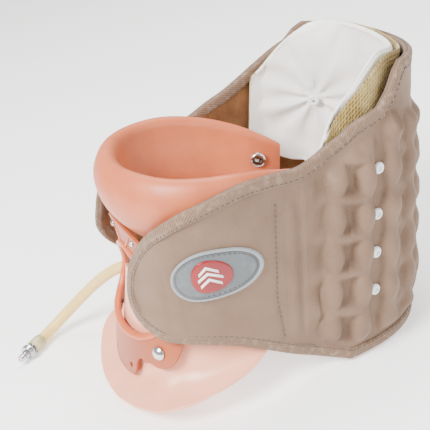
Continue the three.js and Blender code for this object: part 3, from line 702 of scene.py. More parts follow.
def rim_path(name, spacing):
    """Points and normals along the wrap's edge: middle of the back, upper edge, wing tip, lower edge, back again."""
    strips = half_wrap(name)
    loop = [(t, n) for b, t, n, u in reversed(strips)] + [(b, n) for b, t, n, u in strips]
    total = sum((b[0] - a[0]).length for a, b in zip(loop, loop[1:]))
    points = evenly([p for p, n in loop], round(total / spacing))
    normals, i = [], 0
    for p in points:
        window = range(i, min(i + 12, len(loop)))
        i = min(window, key=lambda k: (loop[k][0] - p).length)
        normals.append(loop[i][1])
    for _ in range(6):
        normals = [(normals[max(k - 1, 0)] + n + normals[min(k + 1, len(normals) - 1)]).normalized()
                   for k, n in enumerate(normals)]
    return points, normals


TAPE = [(0.1, 0), (0.25, 1.9), (1.1, 2.9), (2.6, 3.3), (5.0, 3.15), (7.4, 2.95), (8.9, 2.85), (9.4, 2.4),
        (9.4, -2.4), (8.9, -2.85), (7.4, -2.95), (5.0, -3.15), (2.6, -3.3), (1.1, -2.9), (0.25, -1.9)]


def make_binding(name):
    """Tape folded over the wrap's edge, with a slightly frayed inner edge and a row of lock stitches."""
    points, normals = rim_path(name, 1.4)
    sign = -SIDES[name]
    middle = [p - n * LINING_DEPTH / 2 for p, n in zip(points, normals)]

    def section(i):
        fray = 0.28 * (i % 2) + 0.25 * noise.noise(Vector((i * 0.21, 4.0, 0)))
        pucker = 1 + 0.05 * noise.noise(Vector((i * 0.4, 9.0, 0)))
        return [(w + (fray if w > 8.5 else 0), h * pucker) for w, h in TAPE]

    rings = swept(middle, normals, section, across_sign=sign)
    tape = tube_piece(f"{name}_binding", [[placed(p) for p in ring] for ring in rings])
    nodes = [f"{name}_wing_binding", *(["back_top_binding", "back_bottom_binding"] if name == "left" else [])]
    settle(tape, "binding_twill", stands_for=nodes, wing=name)
    for face, tag in ((1, "outer"), (-1, "inner")):
        make_stitches(f"{name}_{tag}_stitches", middle, normals, 8.1, 3.15 * face, sign, wing=name)


def make_stitches(name, points, normals, across_at, height, sign, look="thread", every=3, wing=None, body=None):
    """Lock stitches 2.6 mm long beside a path, as small plump capsules."""
    verts, faces = [], []
    for i in range(2, len(points) - 2, every):
        run = (points[i + 1] - points[i - 1]).normalized()
        across = run.cross(normals[i]).normalized() * sign
        centre = points[i] + across * across_at + normals[i] * height
        start = len(verts)
        for along, size in ((-1.3, 0.35), (-0.8, 0.9), (0.8, 0.9), (1.3, 0.35)):
            for k in range(6):
                a = math.pi * k / 3
                round_it = across * math.cos(a) * 0.42 + normals[i] * math.sin(a) * 0.32
                verts.append(placed(centre + run * along + round_it * size))
        faces += [tuple(start + v for v in face) for face in grid_faces(4, 6, wrap_cols=True)]
        faces += [tuple(start + v for v in (5, 4, 3, 2, 1, 0)), tuple(start + 18 + v for v in range(6))]
    return settle(mesh_piece(name, verts, faces), look, wing=wing, body=body)


def make_seam_stitches(name):
    """The stitched line down a wing that closes the stay pocket."""
    side = SIDES[name]
    points, strips = [], wing_strips(name, 52)
    for t in fractions(84):
        z = lerp(34, 151, t)
        y = lookup(STITCH_LINE, z)[0]
        bottom, top, normal = min(strips, key=lambda s: abs(s[0].lerp(s[1], clamp((z - s[0].z) / (s[1].z - s[0].z + 1e-6))).y - y))
        p = bottom.lerp(top, clamp((z - bottom.z) / (top.z - bottom.z)))
        points.append(Vector((p.x, y, z)))
    normals = [Vector((side, 0, 0))] * len(points)
    make_stitches(f"{name}_pocket_stitches", points, normals, 0, 0.15, 1, every=3, body=f"{name}_wing")


# ---- chin cup ----------------------------------------------------------------------------------
RIM_HALF = [(0, -127, 158), (27, -122.5, 159), (51, -110, 160.5), (64, -91, 162.5), (69, -69, 164), (67.5, -50, 163),
            (63, -28, 159.5), (55.5, -9, 155), (48, 4, 151), (42, 16, 147), (37.5, 27, 143.5)]
CUP_SECTION = [(0, 0), (3, 3), (7.5, 4.2), (12.5, 1.5), (16.3, -5), (18, -14), (16, -25), (11, -35), (3.5, -44),
               (-3, -50), (-10, -53), (-12, -46), (-8, -31), (-3, -14)]


def eyelet_axis(side):
    return placed(Vector((side * 41.6, 8, 131))), turned_to_table(Vector((side, 0.45, 0)).normalized()).normalized()


def make_cup():
    rim = smooth_curve(vectors(reversed(RIM_HALF[1:]), -1) + vectors(RIM_HALF), 120)
    section = evenly([curve_point([Vector((o, h, 0)) for o, h in CUP_SECTION + CUP_SECTION[:1]], t)
                      for t in fractions(120)], 48)[:-1]
    rings = []
    for i, p in enumerate(rim):
        run = rim[min(i + 1, 120)] - rim[max(i - 1, 0)]
        out = run.cross(UP)
        out.z = 0
        out.normalize()
        size = lookup([(0, 0.3), (1.4, 0.56), (4, 0.76), (8, 0.94), (13, 1)], min(i, 120 - i))[0]
        arm = ease(p.y, -40, 15)
        girth = lerp(1, 0.78, arm) * lerp(1, 0.92, ease(abs(p.x), 20, 50))
        ring = []
        for q in section:
            across = 6 + (q.x - 6) * size
            tall = -24 + (q.y + 24) * lerp(1, size, 0.3)
            point = p + out * across * girth + UP * tall * lerp(1, 0.86, arm)
            ring.append(placed(point + out * 0.25 * wobble(point, 26, 2.0)))
        rings.append(ring)
    cup = tube_piece("chin_cup_foam", rings)
    for side in (1, -1):
        origin, axis = eyelet_axis(side)
        drill = lathe_piece("drill", [(0, -12), (4.4, -12), (4.4, 40), (0, 40)], origin, axis, 32)
        modifier = cup.modifiers.new("Hole", "BOOLEAN")
        modifier.object, modifier.operation, modifier.solver = drill, "DIFFERENCE", "EXACT"
        baked(cup)
        bpy.data.objects.remove(drill)
    cup.data.shade_smooth()
    cup.data.set_sharp_from_angle(angle=math.radians(60))
    settle(cup, "eva", stands_for=["chin_cup"])
    for name, side in SIDES.items():
        origin, axis = eyelet_axis(side)
        profile = [(3.0, -1.9), (3.2, -2.4), (4.6, -2.6), (6.0, -2.0), (6.5, -0.9), (6.4, 0.4), (4.4, 0.9), (4.2, 9),
                   (3.0, 9), (3.0, -1.9)]
        ring = lathe_piece(f"{name}_eyelet_ring", profile, origin, axis)
        settle(ring, "chrome", stands_for=[f"{name}_arm_eyelet"])


# ---- front frame and chest plate ---------------------------------------------------------------
FRAME_PROFILE = [(-14, -131.5, 110), (0, -131.5, 108), (20, -131, 100), (40, -129, 86), (60, -127.8, 78),
                 (92, -127.5, 78), (100, -128.6, 130), (110, -130.4, 400)]
FRAME_HALF = [(20, -11), (24, -6.5), (26.5, 5), (30.5, 8.5), (35, 6.5), (41, 8.8), (48, 7.8), (56, 10.5), (61.5, 17),
              (63, 28), (63, 62), (59, 80), (50, 91), (41, 98), (38, 103), (34, 107.5)]
OPENING = [(0, 91), (16, 86), (34, 76), (44, 63), (47, 50), (42, 38), (30, 29.5), (15, 26), (0, 25)]


def frame_point(x, z, out=0.0):
    """The frame's outer surface, moved outwards by some millimetres."""
    y, radius = lookup(FRAME_PROFILE, z)
    slope = (lookup(FRAME_PROFILE, z + 1)[0] - lookup(FRAME_PROFILE, z - 1)[0]) / 2
    depth = math.sqrt(radius * radius - x * x)
    normal = Vector((x / radius, -depth / radius, slope)).normalized()
    return Vector((x, y + radius - depth, z)) + normal * out


def frame_out(x, z):
    return (frame_point(x, z, 1) - frame_point(x, z)).normalized()


def rounded_outline(rows, count):
    points = [Vector((x, z, 0)) for x, z in rows] + [Vector((-x, z, 0)) for x, z in reversed(rows)]
    points = [p for i, p in enumerate(points) if (p - points[i - 1]).length > 0.5]
    closed = points + points[:2]
    dense = [curve_point(closed, t) for t in fractions(24 * len(points))]
    keep = len(dense) - len(dense) // (len(closed) - 1)
    return evenly(dense[:keep], count)[:-1]


def opening_outline():
    return rounded_outline(OPENING, 130)


def make_frame():
    rim = rounded_outline(FRAME_HALF, 260)
    loops = [rim, opening_outline()]
    turns = [2 * math.pi * k / 20 for k in range(20)]
    loops += [[Vector((x + r * math.cos(a), z + r * math.sin(a), 0)) for a in turns]
              for x, z, r in ((16.7, -3.2, 2), (-16.7, -3.2, 2))]
    points, edges = [], []
    for loop in loops:
        first = len(points)
        points += [(p.x, p.y) for p in loop]
        edges += [(first + k, first + (k + 1) % len(loop)) for k in range(len(loop))]

    def inside(x, z, loop):
        hit = False
        for a, b in zip(loop, loop[1:] + loop[:1]):
            if (a.y > z) != (b.y > z) and x < (b.x - a.x) * (z - a.y) / (b.y - a.y) + a.x:
                hit = not hit
        return hit

    def clear(x, z):
        return all((p.x - x) ** 2 + (p.y - z) ** 2 > 2.6 for loop in loops for p in loop)

    for i in range(-22, 23):
        for j in range(-6, 40):
            x, z = i * 3 + (j % 2) * 1.5, j * 2.8
            if inside(x, z, rim) and not any(inside(x, z, loop) for loop in loops[1:]) and clear(x, z):
                points.append((x, z))
    made = delaunay_2d_cdt([Vector(p) for p in points], edges, [], 0, 1e-5)
    flat_points, triangles = made[0], made[2]
    keep = []
    for t in triangles:
        x = sum(flat_points[k].x for k in t) / 3
        z = sum(flat_points[k].y for k in t) / 3
        if inside(x, z, rim) and not any(inside(x, z, loop) for loop in loops[1:]):
            keep.append(tuple(t))
    shell = mesh_piece("front_frame_shell", [placed(frame_point(p.x, p.y)) for p in flat_points], keep,
                       [(p.x / 1000, p.y / 1000) for p in flat_points])
    outward = turned_to_table(Vector((0, -1, 0)))
    if sum((f.normal.dot(outward) for f in shell.data.polygons), 0.0) < 0:
        shell.data.flip_normals()
    thick = shell.modifiers.new("Thickness", "SOLIDIFY")
    thick.thickness, thick.offset = 0.003, -1
    edge = shell.modifiers.new("Edge", "BEVEL")
    edge.width, edge.segments, edge.limit_method, edge.angle_limit = 0.0008, 3, "ANGLE", math.radians(50)
    baked(shell)
    shell.data.shade_smooth()
    settle(shell, "salmon_plastic", stands_for=["front_frame"])
    loop = opening_outline()
    section = [(5.2, -0.4), (4.9, 0.9), (3.9, 1.7), (2.4, 2.0), (0.9, 1.6), (-0.2, 0.6), (-0.5, -0.8), (-0.5, -3.0),
               (0.5, -3.3), (2.0, -3.1)]
    centre = Vector((0, 55, 0))
    rings = []
    for k, p in enumerate(loop):
        run = loop[(k + 1) % len(loop)] - loop[k - 1]
        out = Vector((run.y, -run.x, 0)).normalized()
        if out.dot(p - centre) < 0:
            out.negate()
        rings.append([placed(frame_point(p.x + out.x * w, p.y + out.y * w, h)) for w, h in section])
    settle(tube_piece("throat_opening_bead", rings, closed=True), "bead")
    for side in (1, -1):
        rows = [(3.5, 91, 0), (6, 95, 0), (13, 102, 0), (17, 106, 0)]
        path = smooth_curve(vectors(rows, side), 14)
        rings = []
        for i, p in enumerate(path):
            run = path[min(i + 1, 14)] - path[max(i - 1, 0)]
            out = Vector((run.y, -run.x, 0)).normalized()
            size = 1.5 * (0.35 + 0.65 * math.sin(math.pi * clamp(i / 14, 0.08, 0.92)))
            rings.append([placed(frame_point(p.x + out.x * w * size, p.y + out.y * w * size, h * size))
                          for w, h in ((1, -0.3), (0.8, 0.5), (0.3, 0.85), (-0.3, 0.85), (-0.8, 0.5), (-1, -0.3))])
        settle(tube_piece(f"frame_rib_{'left' if side > 0 else 'right'}", rings), "bead")


PLATE_HALF = [
    [(0, -123, 70), (0, -126, -9), (0, -141.5, -33.5)], [(12, -122, 69), (14, -125, -9), (15, -142.6, -29.5)],
    [(24, -118.4, 66), (27, -122, -8), (30, -140.5, -27)], [(35, -113, 60), (38, -117.6, -1), (44, -137, -24.5)],
    [(44, -107.5, 54), (49, -112.6, 7), (58, -132, -20.5)], [(52, -97, 50), (58, -103, 10), (70, -126.5, -16)],
    [(58, -87, 47), (65, -94, 13), (79, -119, -10.5)], [(63, -78, 45), (70, -84, 16), (85.5, -107, -5)],
    [(67, -68, 43), (74, -72, 20), (88.5, -90, 2)], [(70, -57, 41), (77, -60, 24), (90, -73, 9)],
    [(71, -47, 40), (76.5, -48, 29), (87, -54, 17.5)], [(72, -40, 39), (76, -40, 32), (79.5, -39.5, 23.5)],
]


def make_plate():
    columns = [vectors(c, -1) for c in reversed(PLATE_HALF[1:])] + [vectors(c) for c in PLATE_HALF]
    lines = [[c[k] for c in columns] for k in range(3)]
    count = 150
    smooth = [[curve_point(line, t) for t in fractions(count)] for line in lines]
    grid = []
    for high, waist, low in zip(*smooth):
        flare = waist + (waist - high).normalized() * (waist - low).length * 0.36
        column = [high.lerp(waist, t) for t in fractions(20)[:-1]]
        column += [waist * (1 - t) ** 2 + flare * 2 * t * (1 - t) + low * t * t for t in fractions(24)]
        grid.append([placed(p) for p in column])
    plate = surface_piece("chest_plate_shell", grid)
    outward = turned_to_table(Vector((0, -1, 0)))
    if sum((f.normal.dot(outward) for f in plate.data.polygons), 0.0) < 0:
        plate.data.flip_normals()
    thick = plate.modifiers.new("Thickness", "SOLIDIFY")
    thick.thickness, thick.offset = 0.0026, -1
    edge = plate.modifiers.new("Edge", "BEVEL")
    edge.width, edge.segments, edge.limit_method, edge.angle_limit = 0.0011, 4, "ANGLE", math.radians(50)
    baked(plate)
    plate.data.shade_smooth()
    settle(plate, "pink_plastic", stands_for=["chest_plate"])


def make_rivets():
    for name, side in SIDES.items():
        origin = placed(frame_point(side * 48.3, 20.6))
        axis = turned_to_table(frame_out(side * 48.3, 20.6)).normalized()
        dome = [(0, -8), (1.9, -8), (1.9, 0.2), (5.3, 0.3), (5.7, 0.6), (5.7, 1.0), (5.3, 1.4), (4.6, 1.9), (3.4, 2.7),
                (2.0, 3.15), (0.8, 3.3), (0, 3.3)]
        settle(lathe_piece(f"{name}_rivet_dome", dome, origin, axis), "chrome",
               stands_for=[f"{name}_frame_rivet"])
        origin = placed(frame_point(side * 22, 103.5))
        axis = turned_to_table(frame_out(side * 22, 103.5)).normalized()
        pin = [(0, 0.3), (2.3, 0.3), (2.5, 0.6), (2.3, 1.1), (1.6, 1.7), (0.7, 2.0), (0, 2.0)]
        settle(lathe_piece(f"{name}_pin_head", pin, origin, axis, 32), "chrome",
               stands_for=[f"{name}_cup_pin"])


# ---- head pad ----------------------------------------------------------------------------------
PAD_OUTLINE = [(0, 138, 160), (0.09, 127, 194), (0.18, 120, 216), (0.28, 117, 231), (0.37, 115, 239), (0.5, 114, 240),
               (0.66, 115, 243), (0.78, 117, 241), (0.87, 120, 226), (0.94, 126, 208), (1, 136, 190)]
PAD_LEFT, PAD_RIGHT, PAD_WIDTH, PAD_DEPTH = -8, 17, 80, 65
BUTTON_ANGLE, BUTTON_HEIGHT, BUTTON_RADIUS = math.radians(145), 176, 55
SWELL_LIMIT = 0.004  # how far stuffing may push the cushion out of its sewn shape, in metres


def pad_plan(t):
    """Plan position and inward direction along the pad, from its left end round the rear to its right end."""
    left_run, right_run = CENTRE_Y - PAD_LEFT, CENTRE_Y - PAD_RIGHT
    arc = math.pi * (PAD_WIDTH + PAD_DEPTH) / 2
    at = t * (left_run + arc + right_run)
    if at < left_run:
        return Vector((PAD_WIDTH, PAD_LEFT + at, 0)), Vector((-1, 0, 0))
    if at > left_run + arc:
        return Vector((-PAD_WIDTH, CENTRE_Y - (at - left_run - arc), 0)), Vector((1, 0, 0))
    angle = math.pi * (at - left_run) / arc
    c, s = math.cos(angle), math.sin(angle)
    return (Vector((PAD_WIDTH * c, CENTRE_Y + PAD_DEPTH * s, 0)),
            Vector((-c / PAD_WIDTH, -s / PAD_DEPTH, 0)).normalized())


def pad_edges(t):
    """Lower and upper edge of the pad, smoothed between the rows of its outline."""
    spans = [lookup(PAD_OUTLINE, clamp(t + d)) for d in (-0.03, -0.015, 0, 0.015, 0.03)]
    return tuple(sum(v) / 5 for v in zip(*spans))


def pad_point(t, r, gap, under, full, share):
    """A place in a layer of the pad: t along it, r up it, share from its back face (0) to its inner face (1)."""
    low, high = pad_edges(t)
    point, inwards = pad_plan(t)
    body = ease(min(t, 1 - t), 0, 0.2)
    base = gap + (lerp(under[0], under[1], body) if under else 0)
    crown = 0.5 + 0.5 * math.sin(math.pi * clamp(r, 0.04, 0.96)) ** 0.7
    side = min(r, 1 - r) * (high - low)
    crown *= 0.5 + 0.5 * math.sqrt(clamp(side / 5)) if side < 5 else 1
    depth = base + share * lerp(full[0], full[1], body) * crown
    near = ease(t, 0.0, 0.08) * (1 - ease(t, 0.24, 0.4))
    point = point + inwards * (depth + 7 * near * r * r)
    point.z = lerp(low, high + 11 * near, r)
    return point


def button_place():
    a = BUTTON_ANGLE
    return Vector((0, CENTRE_Y, BUTTON_HEIGHT)) + Vector((math.cos(a), math.sin(a), 0)) * BUTTON_RADIUS


def closed_layer(name, columns, rows, gap, under, full):
    """A thin closed cushion: inner and back face with a shared edge."""
    rings = []
    for t in fractions(columns):
        inner = [placed(pad_point(t, r, gap, under, full, 0.94)) for r in fractions(rows)]
        back = [placed(pad_point(t, r, gap, under, full, 0.06)) for r in fractions(rows)]
        rings.append(inner + back[::-1])
    return tube_piece(name, rings)


def make_pad(stuffing):
    cushion = closed_layer("head_cushion", 130, 44, 0.6, (2.4, 5), (4, 9))
    button = placed(button_place())
    start = [v.co.copy() for v in cushion.data.vertices]
    loose = cushion.vertex_groups.new(name="held")
    for v in cushion.data.vertices:
        near = (v.co - button).length
        row = v.index % 90
        seam = min(row % 45, 44 - row % 45)
        hold = 1.0 if near < 0.009 or seam == 0 or row >= 45 else 0.0
        if hold:
            loose.add([v.index], hold, "REPLACE")
    cloth = cushion.modifiers.new("Stuffing", "CLOTH")
    cloth.settings.vertex_group_mass = "held"
    cloth.settings.use_pressure = True
    cloth.settings.uniform_pressure_force = stuffing
    cloth.settings.effector_weights.gravity = 0
    cloth.settings.mass = 0.25
    cloth.settings.tension_stiffness = cloth.settings.compression_stiffness = 12
    cloth.settings.bending_stiffness = 0.4
    cloth.settings.shrink_min = -0.07
    cloth.point_cache.frame_start, cloth.point_cache.frame_end = 1, 20
    for step in range(1, 21):
        bpy.context.scene.frame_set(step)
    baked(cushion)
    bpy.context.scene.frame_set(1)
    for v, home in zip(cushion.data.vertices, start):
        moved = v.co - home
        if moved.length > SWELL_LIMIT:
            moved.length = SWELL_LIMIT
        v.co = home + moved
    subdivided(cushion)
    turn_in = turned_to_table(Vector((-math.cos(BUTTON_ANGLE), -math.sin(BUTTON_ANGLE), 0))).normalized()
    side = turn_in.cross(UP).normalized()
    rise = side.cross(turn_in).normalized() * -1
    for v in cushion.data.vertices:
        away = v.co - button
        if v.normal.dot(turn_in) < 0.2 and away.length > 0.02:
            continue
        across, up = away.dot(side), away.dot(rise)
        near = math.hypot(across, up) * 1000
        angle = math.atan2(up, across)
        fold = math.sin(8 * angle + 1.3 * math.sin(2 * angle)) * ease(near, 4, 11) * (1 - ease(near, 24, 62))
        dimple = -1.6 * math.exp(-(near / 10) ** 2) - 1.4 * math.exp(-(near / 24) ** 2)
        v.co += v.normal * (dimple + 2.1 * fold + 0.3 * wobble(v.co * 1000, 17, 3.0)) / 1000
    cushion.data.shade_smooth()
    settle(cushion, "white_leatherette", stands_for=["head_pad"])
    make_piping()


def make_piping():
    """White piping sewn along the upper edge of the cushion."""
    path = []
    for t in fractions(220)[4:-4]:
        path.append(placed(pad_point(t, 1.0, 0.6, (2.4, 5), (4, 9), 0.9)))
    rings = []
    for i, p in enumerate(path):
        run = (path[min(i + 1, len(path) - 1)] - path[max(i - 1, 0)]).normalized()
        side = run.cross(UP).normalized()
        rings.append(round_ring(p, side, run.cross(side), 0.0013 + 0.0001 * math.sin(i * 1.7), 10))
    settle(tube_piece("cushion_piping", rings), "white_leatherette")


def make_spacer():
    spacer = closed_layer("pad_spacer_mesh", 150, 40, 0.0, None, (2.4, 5))
    settle(subdivided(spacer), "gold_mesh", stands_for=["pad_mesh_back"])


def make_button():
    a = BUTTON_ANGLE
    axis = turned_to_table(Vector((-math.cos(a), -math.sin(a), 0))).normalized()
    profile = [(0, 0), (4.4, 0), (4.7, 0.5), (4.6, 1.2), (4.0, 1.8), (3.0, 2.0), (2.4, 1.5), (1.3, 1.3), (1.0, 2.1), (0, 2.3)]
    settle(lathe_piece("tufting_button", profile, placed(button_place()), axis), "white_plastic",
           stands_for=["pad_button"])
    knot = [(0, 1.8), (0.9, 2.2), (0.9, 2.7), (0, 2.8)]
    core = lathe_piece("button_thread_knot", knot, placed(button_place()), axis, 12)
    settle(core, "dark_thread")


# ---- badge, snaps ------------------------------------------------------------------------------
BADGE_STRIP, BADGE_HEIGHT, BADGE_TILT, STRIP_WIDTH = 9.5, 98, math.radians(12), 8.5


def badge_point(x, y, out):
    """A place on the left wing, x along the badge and y up it in millimetres, moved out of the surface."""
    along = x * math.cos(BADGE_TILT) - y * math.sin(BADGE_TILT)
    rise = x * math.sin(BADGE_TILT) + y * math.cos(BADGE_TILT)
    strips = badge_point.strips
    at = (BADGE_STRIP + along / STRIP_WIDTH) * 4
    i = int(clamp(math.floor(at), 0, len(strips) - 2))
    bottom, top, normal = (a.lerp(b, at - i) for a, b in zip(strips[i], strips[i + 1]))
    z = BADGE_HEIGHT - rise
    return placed(bottom.lerp(top, (z - bottom.z) / (top.z - bottom.z)) + normal.normalized() * out)


def badge_disc(name, half_width, half_height, profile, segments=72):
    """A flat dome on the wing. Profile: (share of the radius, height above the cover)."""
    rings = []
    for k in range(segments):
        a = 2 * math.pi * k / segments
        rings.append([badge_point(s * half_width * math.cos(a), s * half_height * math.sin(a), h) for s, h in profile])
    points = [p for ring in rings for p in ring]
    flat = [(s * half_width * math.cos(2 * math.pi * k / segments) / 1000,
             s * half_height * math.sin(2 * math.pi * k / segments) / 1000)
            for k in range(segments) for s, h in profile]
    made = mesh_piece(name, points, grid_faces(segments, len(profile), wrap_rows=True), flat)
    body = bmesh.new()
    body.from_mesh(made.data)
    bmesh.ops.remove_doubles(body, verts=body.verts, dist=1e-7)
    body.to_mesh(made.data)
    body.free()
    outwards(made)
    if sum(f.normal.x for f in made.data.polygons) < 0:
        made.data.flip_normals()
    return made


def make_badge():
    badge_point.strips = wing_strips("left")
    cloth = badge_disc("badge_cloth", 32.6, 18.6, [(0, 2.1), (0.3, 2.1), (0.6, 2.1), (0.85, 2.0), (1, 1.7), (1.0, 0.3)])
    settle(cloth, "grey_patch", body="left_wing", stands_for=["badge_patch"])
    roll = [(0.90, 1.9), (0.915, 2.5), (0.94, 2.8), (0.97, 2.6), (0.99, 1.9), (1, 0.4)]
    rim = badge_disc("badge_rim", 34.5, 20.5, roll)
    settle(rim, "patch_rim", body="left_wing")
    verts, faces = [], []
    for k in range(60):
        a = 2 * math.pi * k / 60
        start = len(verts)
        for d, size in ((-0.020, 0.3), (-0.012, 1), (0.012, 1), (0.020, 0.3)):
            x, y = 29.3 * math.cos(a + d), 16.4 * math.sin(a + d)
            for m in range(6):
                t = m * math.pi / 3
                s = 1 + 0.018 * size * math.cos(t)
                verts.append(badge_point(x * s, y * s, 2.2 + 0.35 * size * math.sin(t)))
        faces += [tuple(start + v for v in face) for face in grid_faces(4, 6, wrap_cols=True)]
    settle(mesh_piece("badge_stitches", verts, faces), "dark_thread", body="left_wing")
    dome = [(0, 3.3), (0.5, 3.3), (0.88, 3.25), (0.96, 3.0), (1, 2.4), (1.0, 1.6)]
    disc = badge_disc("badge_emblem_disc", 13.6, 13.6, dome)
    settle(disc, "red_enamel", body="left_wing", stands_for=["badge_emblem"])
    verts, faces = [], []
    for k, level in enumerate((-4.6, 0.4, 5.4)):
        reach = (6.2, 7.6, 6.2)[k]
        start = len(verts)
        for x, y in ((-reach, -2.4), (0, 2.6), (reach, -2.4)):
            for w, h in ((-1.35, 3.2), (-1.0, 3.75), (1.0, 3.75), (1.35, 3.2)):
                verts.append(badge_point(x, -(level + y + w), h))
        faces += [tuple(start + v for v in face) for face in grid_faces(3, 4)]
        faces += [(start + 3, start + 2, start + 1, start), (start + 8, start + 9, start + 10, start + 11)]
    settle(mesh_piece("badge_chevrons", verts, faces), "white_enamel", body="left_wing")


def make_snaps():
    """Ring snaps in the second valley on both sides."""
    column = FIRST_CELL + (1 - 2 * FIRST_CELL) * 1.5 / (CELLS - 1)
    for name, u in (("left", column), ("right", 1 - column)):
        for i, z in enumerate((63, 94, 125, 161)):
            point, normal = rear_place(u, z)
            axis = turned_to_table(normal).normalized()
            profile = [(0, 0.6), (1.5, 0.8), (1.9, 1.4), (2.0, 2.6), (2.5, 3.0), (3.3, 2.9), (4.2, 2.2), (4.6, 1.3), (4.6, 0.3),
                       (0, 0.3)]
            settle(lathe_piece(f"{name}_ring_snap_{i + 1}", profile, placed(point), axis), "white_plastic",
                   stands_for=[f"{name}_snap_{i + 1}"])


# ---- hose and coupling -------------------------------------------------------------------------
HOSE = [(-73, -13.5, 62.6), (-72.4, -24, 63), (-71, -40, 64.5), (-70, -56, 66.3), (-69.5, -70, 67), (-70.2, -82, 66.4),
        (-74.2, -91, 63.6), (-81.5, -99.5, 59.6), (-90, -108, 52.8), (-98.6, -117.5, 44), (-106.5, -128, 33.8),
        (-112, -139, 24.4), (-114.8, -150, 16.6), (-115, -160, 11), (-112.8, -169.3, 7.6), (-108.6, -175.2, 7.2)]
HOSE_END = Vector((-108.6, -180.6, 7.2)) / 1000
COUPLING_AXIS = Vector((0.585, -0.811, 0)).normalized()


def make_hose(diameter):
    """The air hose as one smooth curve, from the inlet to its coupling; the coupling's pieces go with it."""
    route = [Vector((x, y - 5, z)) / 1000 for x, y, z in HOSE]
    path = [curve_point(route, t) for t in fractions(90)]
    line = bpy.data.curves.new("air_hose_tube", "CURVE")
    line.dimensions, line.bevel_depth, line.bevel_resolution, line.use_fill_caps = "3D", diameter / 2, 8, True
    spline = line.splines.new("POLY")
    spline.points.add(len(path) - 1)
    for point, p in zip(spline.points, path):
        point.co = (*p, 1)
    spline.use_smooth = True
    hose = bpy.data.objects.new("air_hose_tube", line)
    bpy.context.scene.collection.objects.link(hose)
    settle(hose, "latex", stands_for=["air_hose"])
    sleeve = lathe_piece("hose_end_sleeve", [(0, 0.2), (5.2, 0.2), (5.7, 1.4), (6.2, 4), (6.15, 7), (6.25, 10), (6.1, 12.6),
                                             (5.6, 13), (0, 13)], HOSE_END, COUPLING_AXIS)
    settle(sleeve, "sleeve_vinyl", stands_for=["hose_sleeve"])
    barrel = lathe_piece("coupling_barrel", [
        (0, 13.3), (5.2, 13.3), (5.4, 13.5), (5.4, 14.0), (5.1, 14.2), (3.6, 14.3), (3.6, 24.2), (3.3, 24.6), (2.3, 24.9),
        (2.6, 25.5), (3.2, 26.1), (3.35, 26.7), (3.2, 27.4), (2.6, 28.0), (2.3, 28.3), (2.8, 28.7), (2.9, 29.0), (2.9, 30.7),
        (2.6, 31), (1.4, 31), (1.2, 30.2), (0, 30.2)], HOSE_END, COUPLING_AXIS)
    settle(barrel, "chrome", stands_for=["coupling_body"])
    ring = lathe_piece("coupling_release_ring", [
        (3.75, 16.6), (5.9, 16.6), (6.2, 16.8), (6.3, 17.2), (6.6, 17.5), (6.7, 18.0), (6.45, 18.3), (6.7, 18.6), (6.7, 19.2),
        (6.45, 19.5), (6.7, 19.8), (6.7, 20.6), (6.3, 21.2), (5.6, 21.5), (3.75, 21.6), (3.75, 16.6)], HOSE_END, COUPLING_AXIS)
    settle(ring, "chrome", body="release_collar", stands_for=["coupling_collar"])


def make_inlet():
    """Moulded elbow that brings the hose through the lining."""
    rows = [((-81.2, -8, 62), (1, 0, 0), 8.4), ((-80.8, -8, 62), (1, 0, 0), 9), ((-80.0, -8, 62), (1, 0, 0), 9),
            ((-79.7, -8, 62), (1, 0, 0), 8.5), ((-79.6, -8, 62), (1, 0, 0), 5.9), ((-78.6, -8.2, 62), (0.97, -0.2, 0), 5.6),
            ((-77, -8.8, 62), (0.85, -0.5, 0), 5.6), ((-75.1, -10.6, 62), (0.45, -0.9, 0), 5.6),
            ((-74.5, -13, 62), (0, -1, 0), 5.6), ((-74.4, -16, 62), (0, -1, 0), 5.7), ((-74.3, -17.6, 62), (0, -1, 0), 5.6),
            ((-74.3, -18, 62), (0, -1, 0), 5.2)]
    rings = []
    for centre, run, radius in rows:
        side = Vector(run).normalized().cross(UP).normalized()
        rings.append([placed(p) for p in round_ring(Vector(centre), side, UP, radius, 40)])
    elbow = tube_piece("hose_inlet_elbow", rings)
    elbow.data.set_sharp_from_angle(angle=math.radians(50))
    settle(elbow, "white_plastic", stands_for=["hose_inlet"])


# ---- camera, light and floor -------------------------------------------------------------------
CAMERA_PLACE = Vector((0.668478, -0.248716, 0.478226))
CAMERA_AIM = Vector((-0.007399, -0.026756, 0.112269))
CAMERA_ROLL = math.radians(-13.734)


def area_light(name, place, aim, size, power, colour="#ffffff"):
    data = bpy.data.lights.new(name, "AREA")
    data.shape, data.size, data.energy, data.color = "DISK", size, power, hex_colour(colour)[:3]
    lamp = bpy.data.objects.new(name, data)
    lamp.location = place
    lamp.rotation_euler = (Vector(aim) - Vector(place)).to_track_quat("-Z", "Y").to_euler()
    bpy.context.scene.collection.objects.link(lamp)


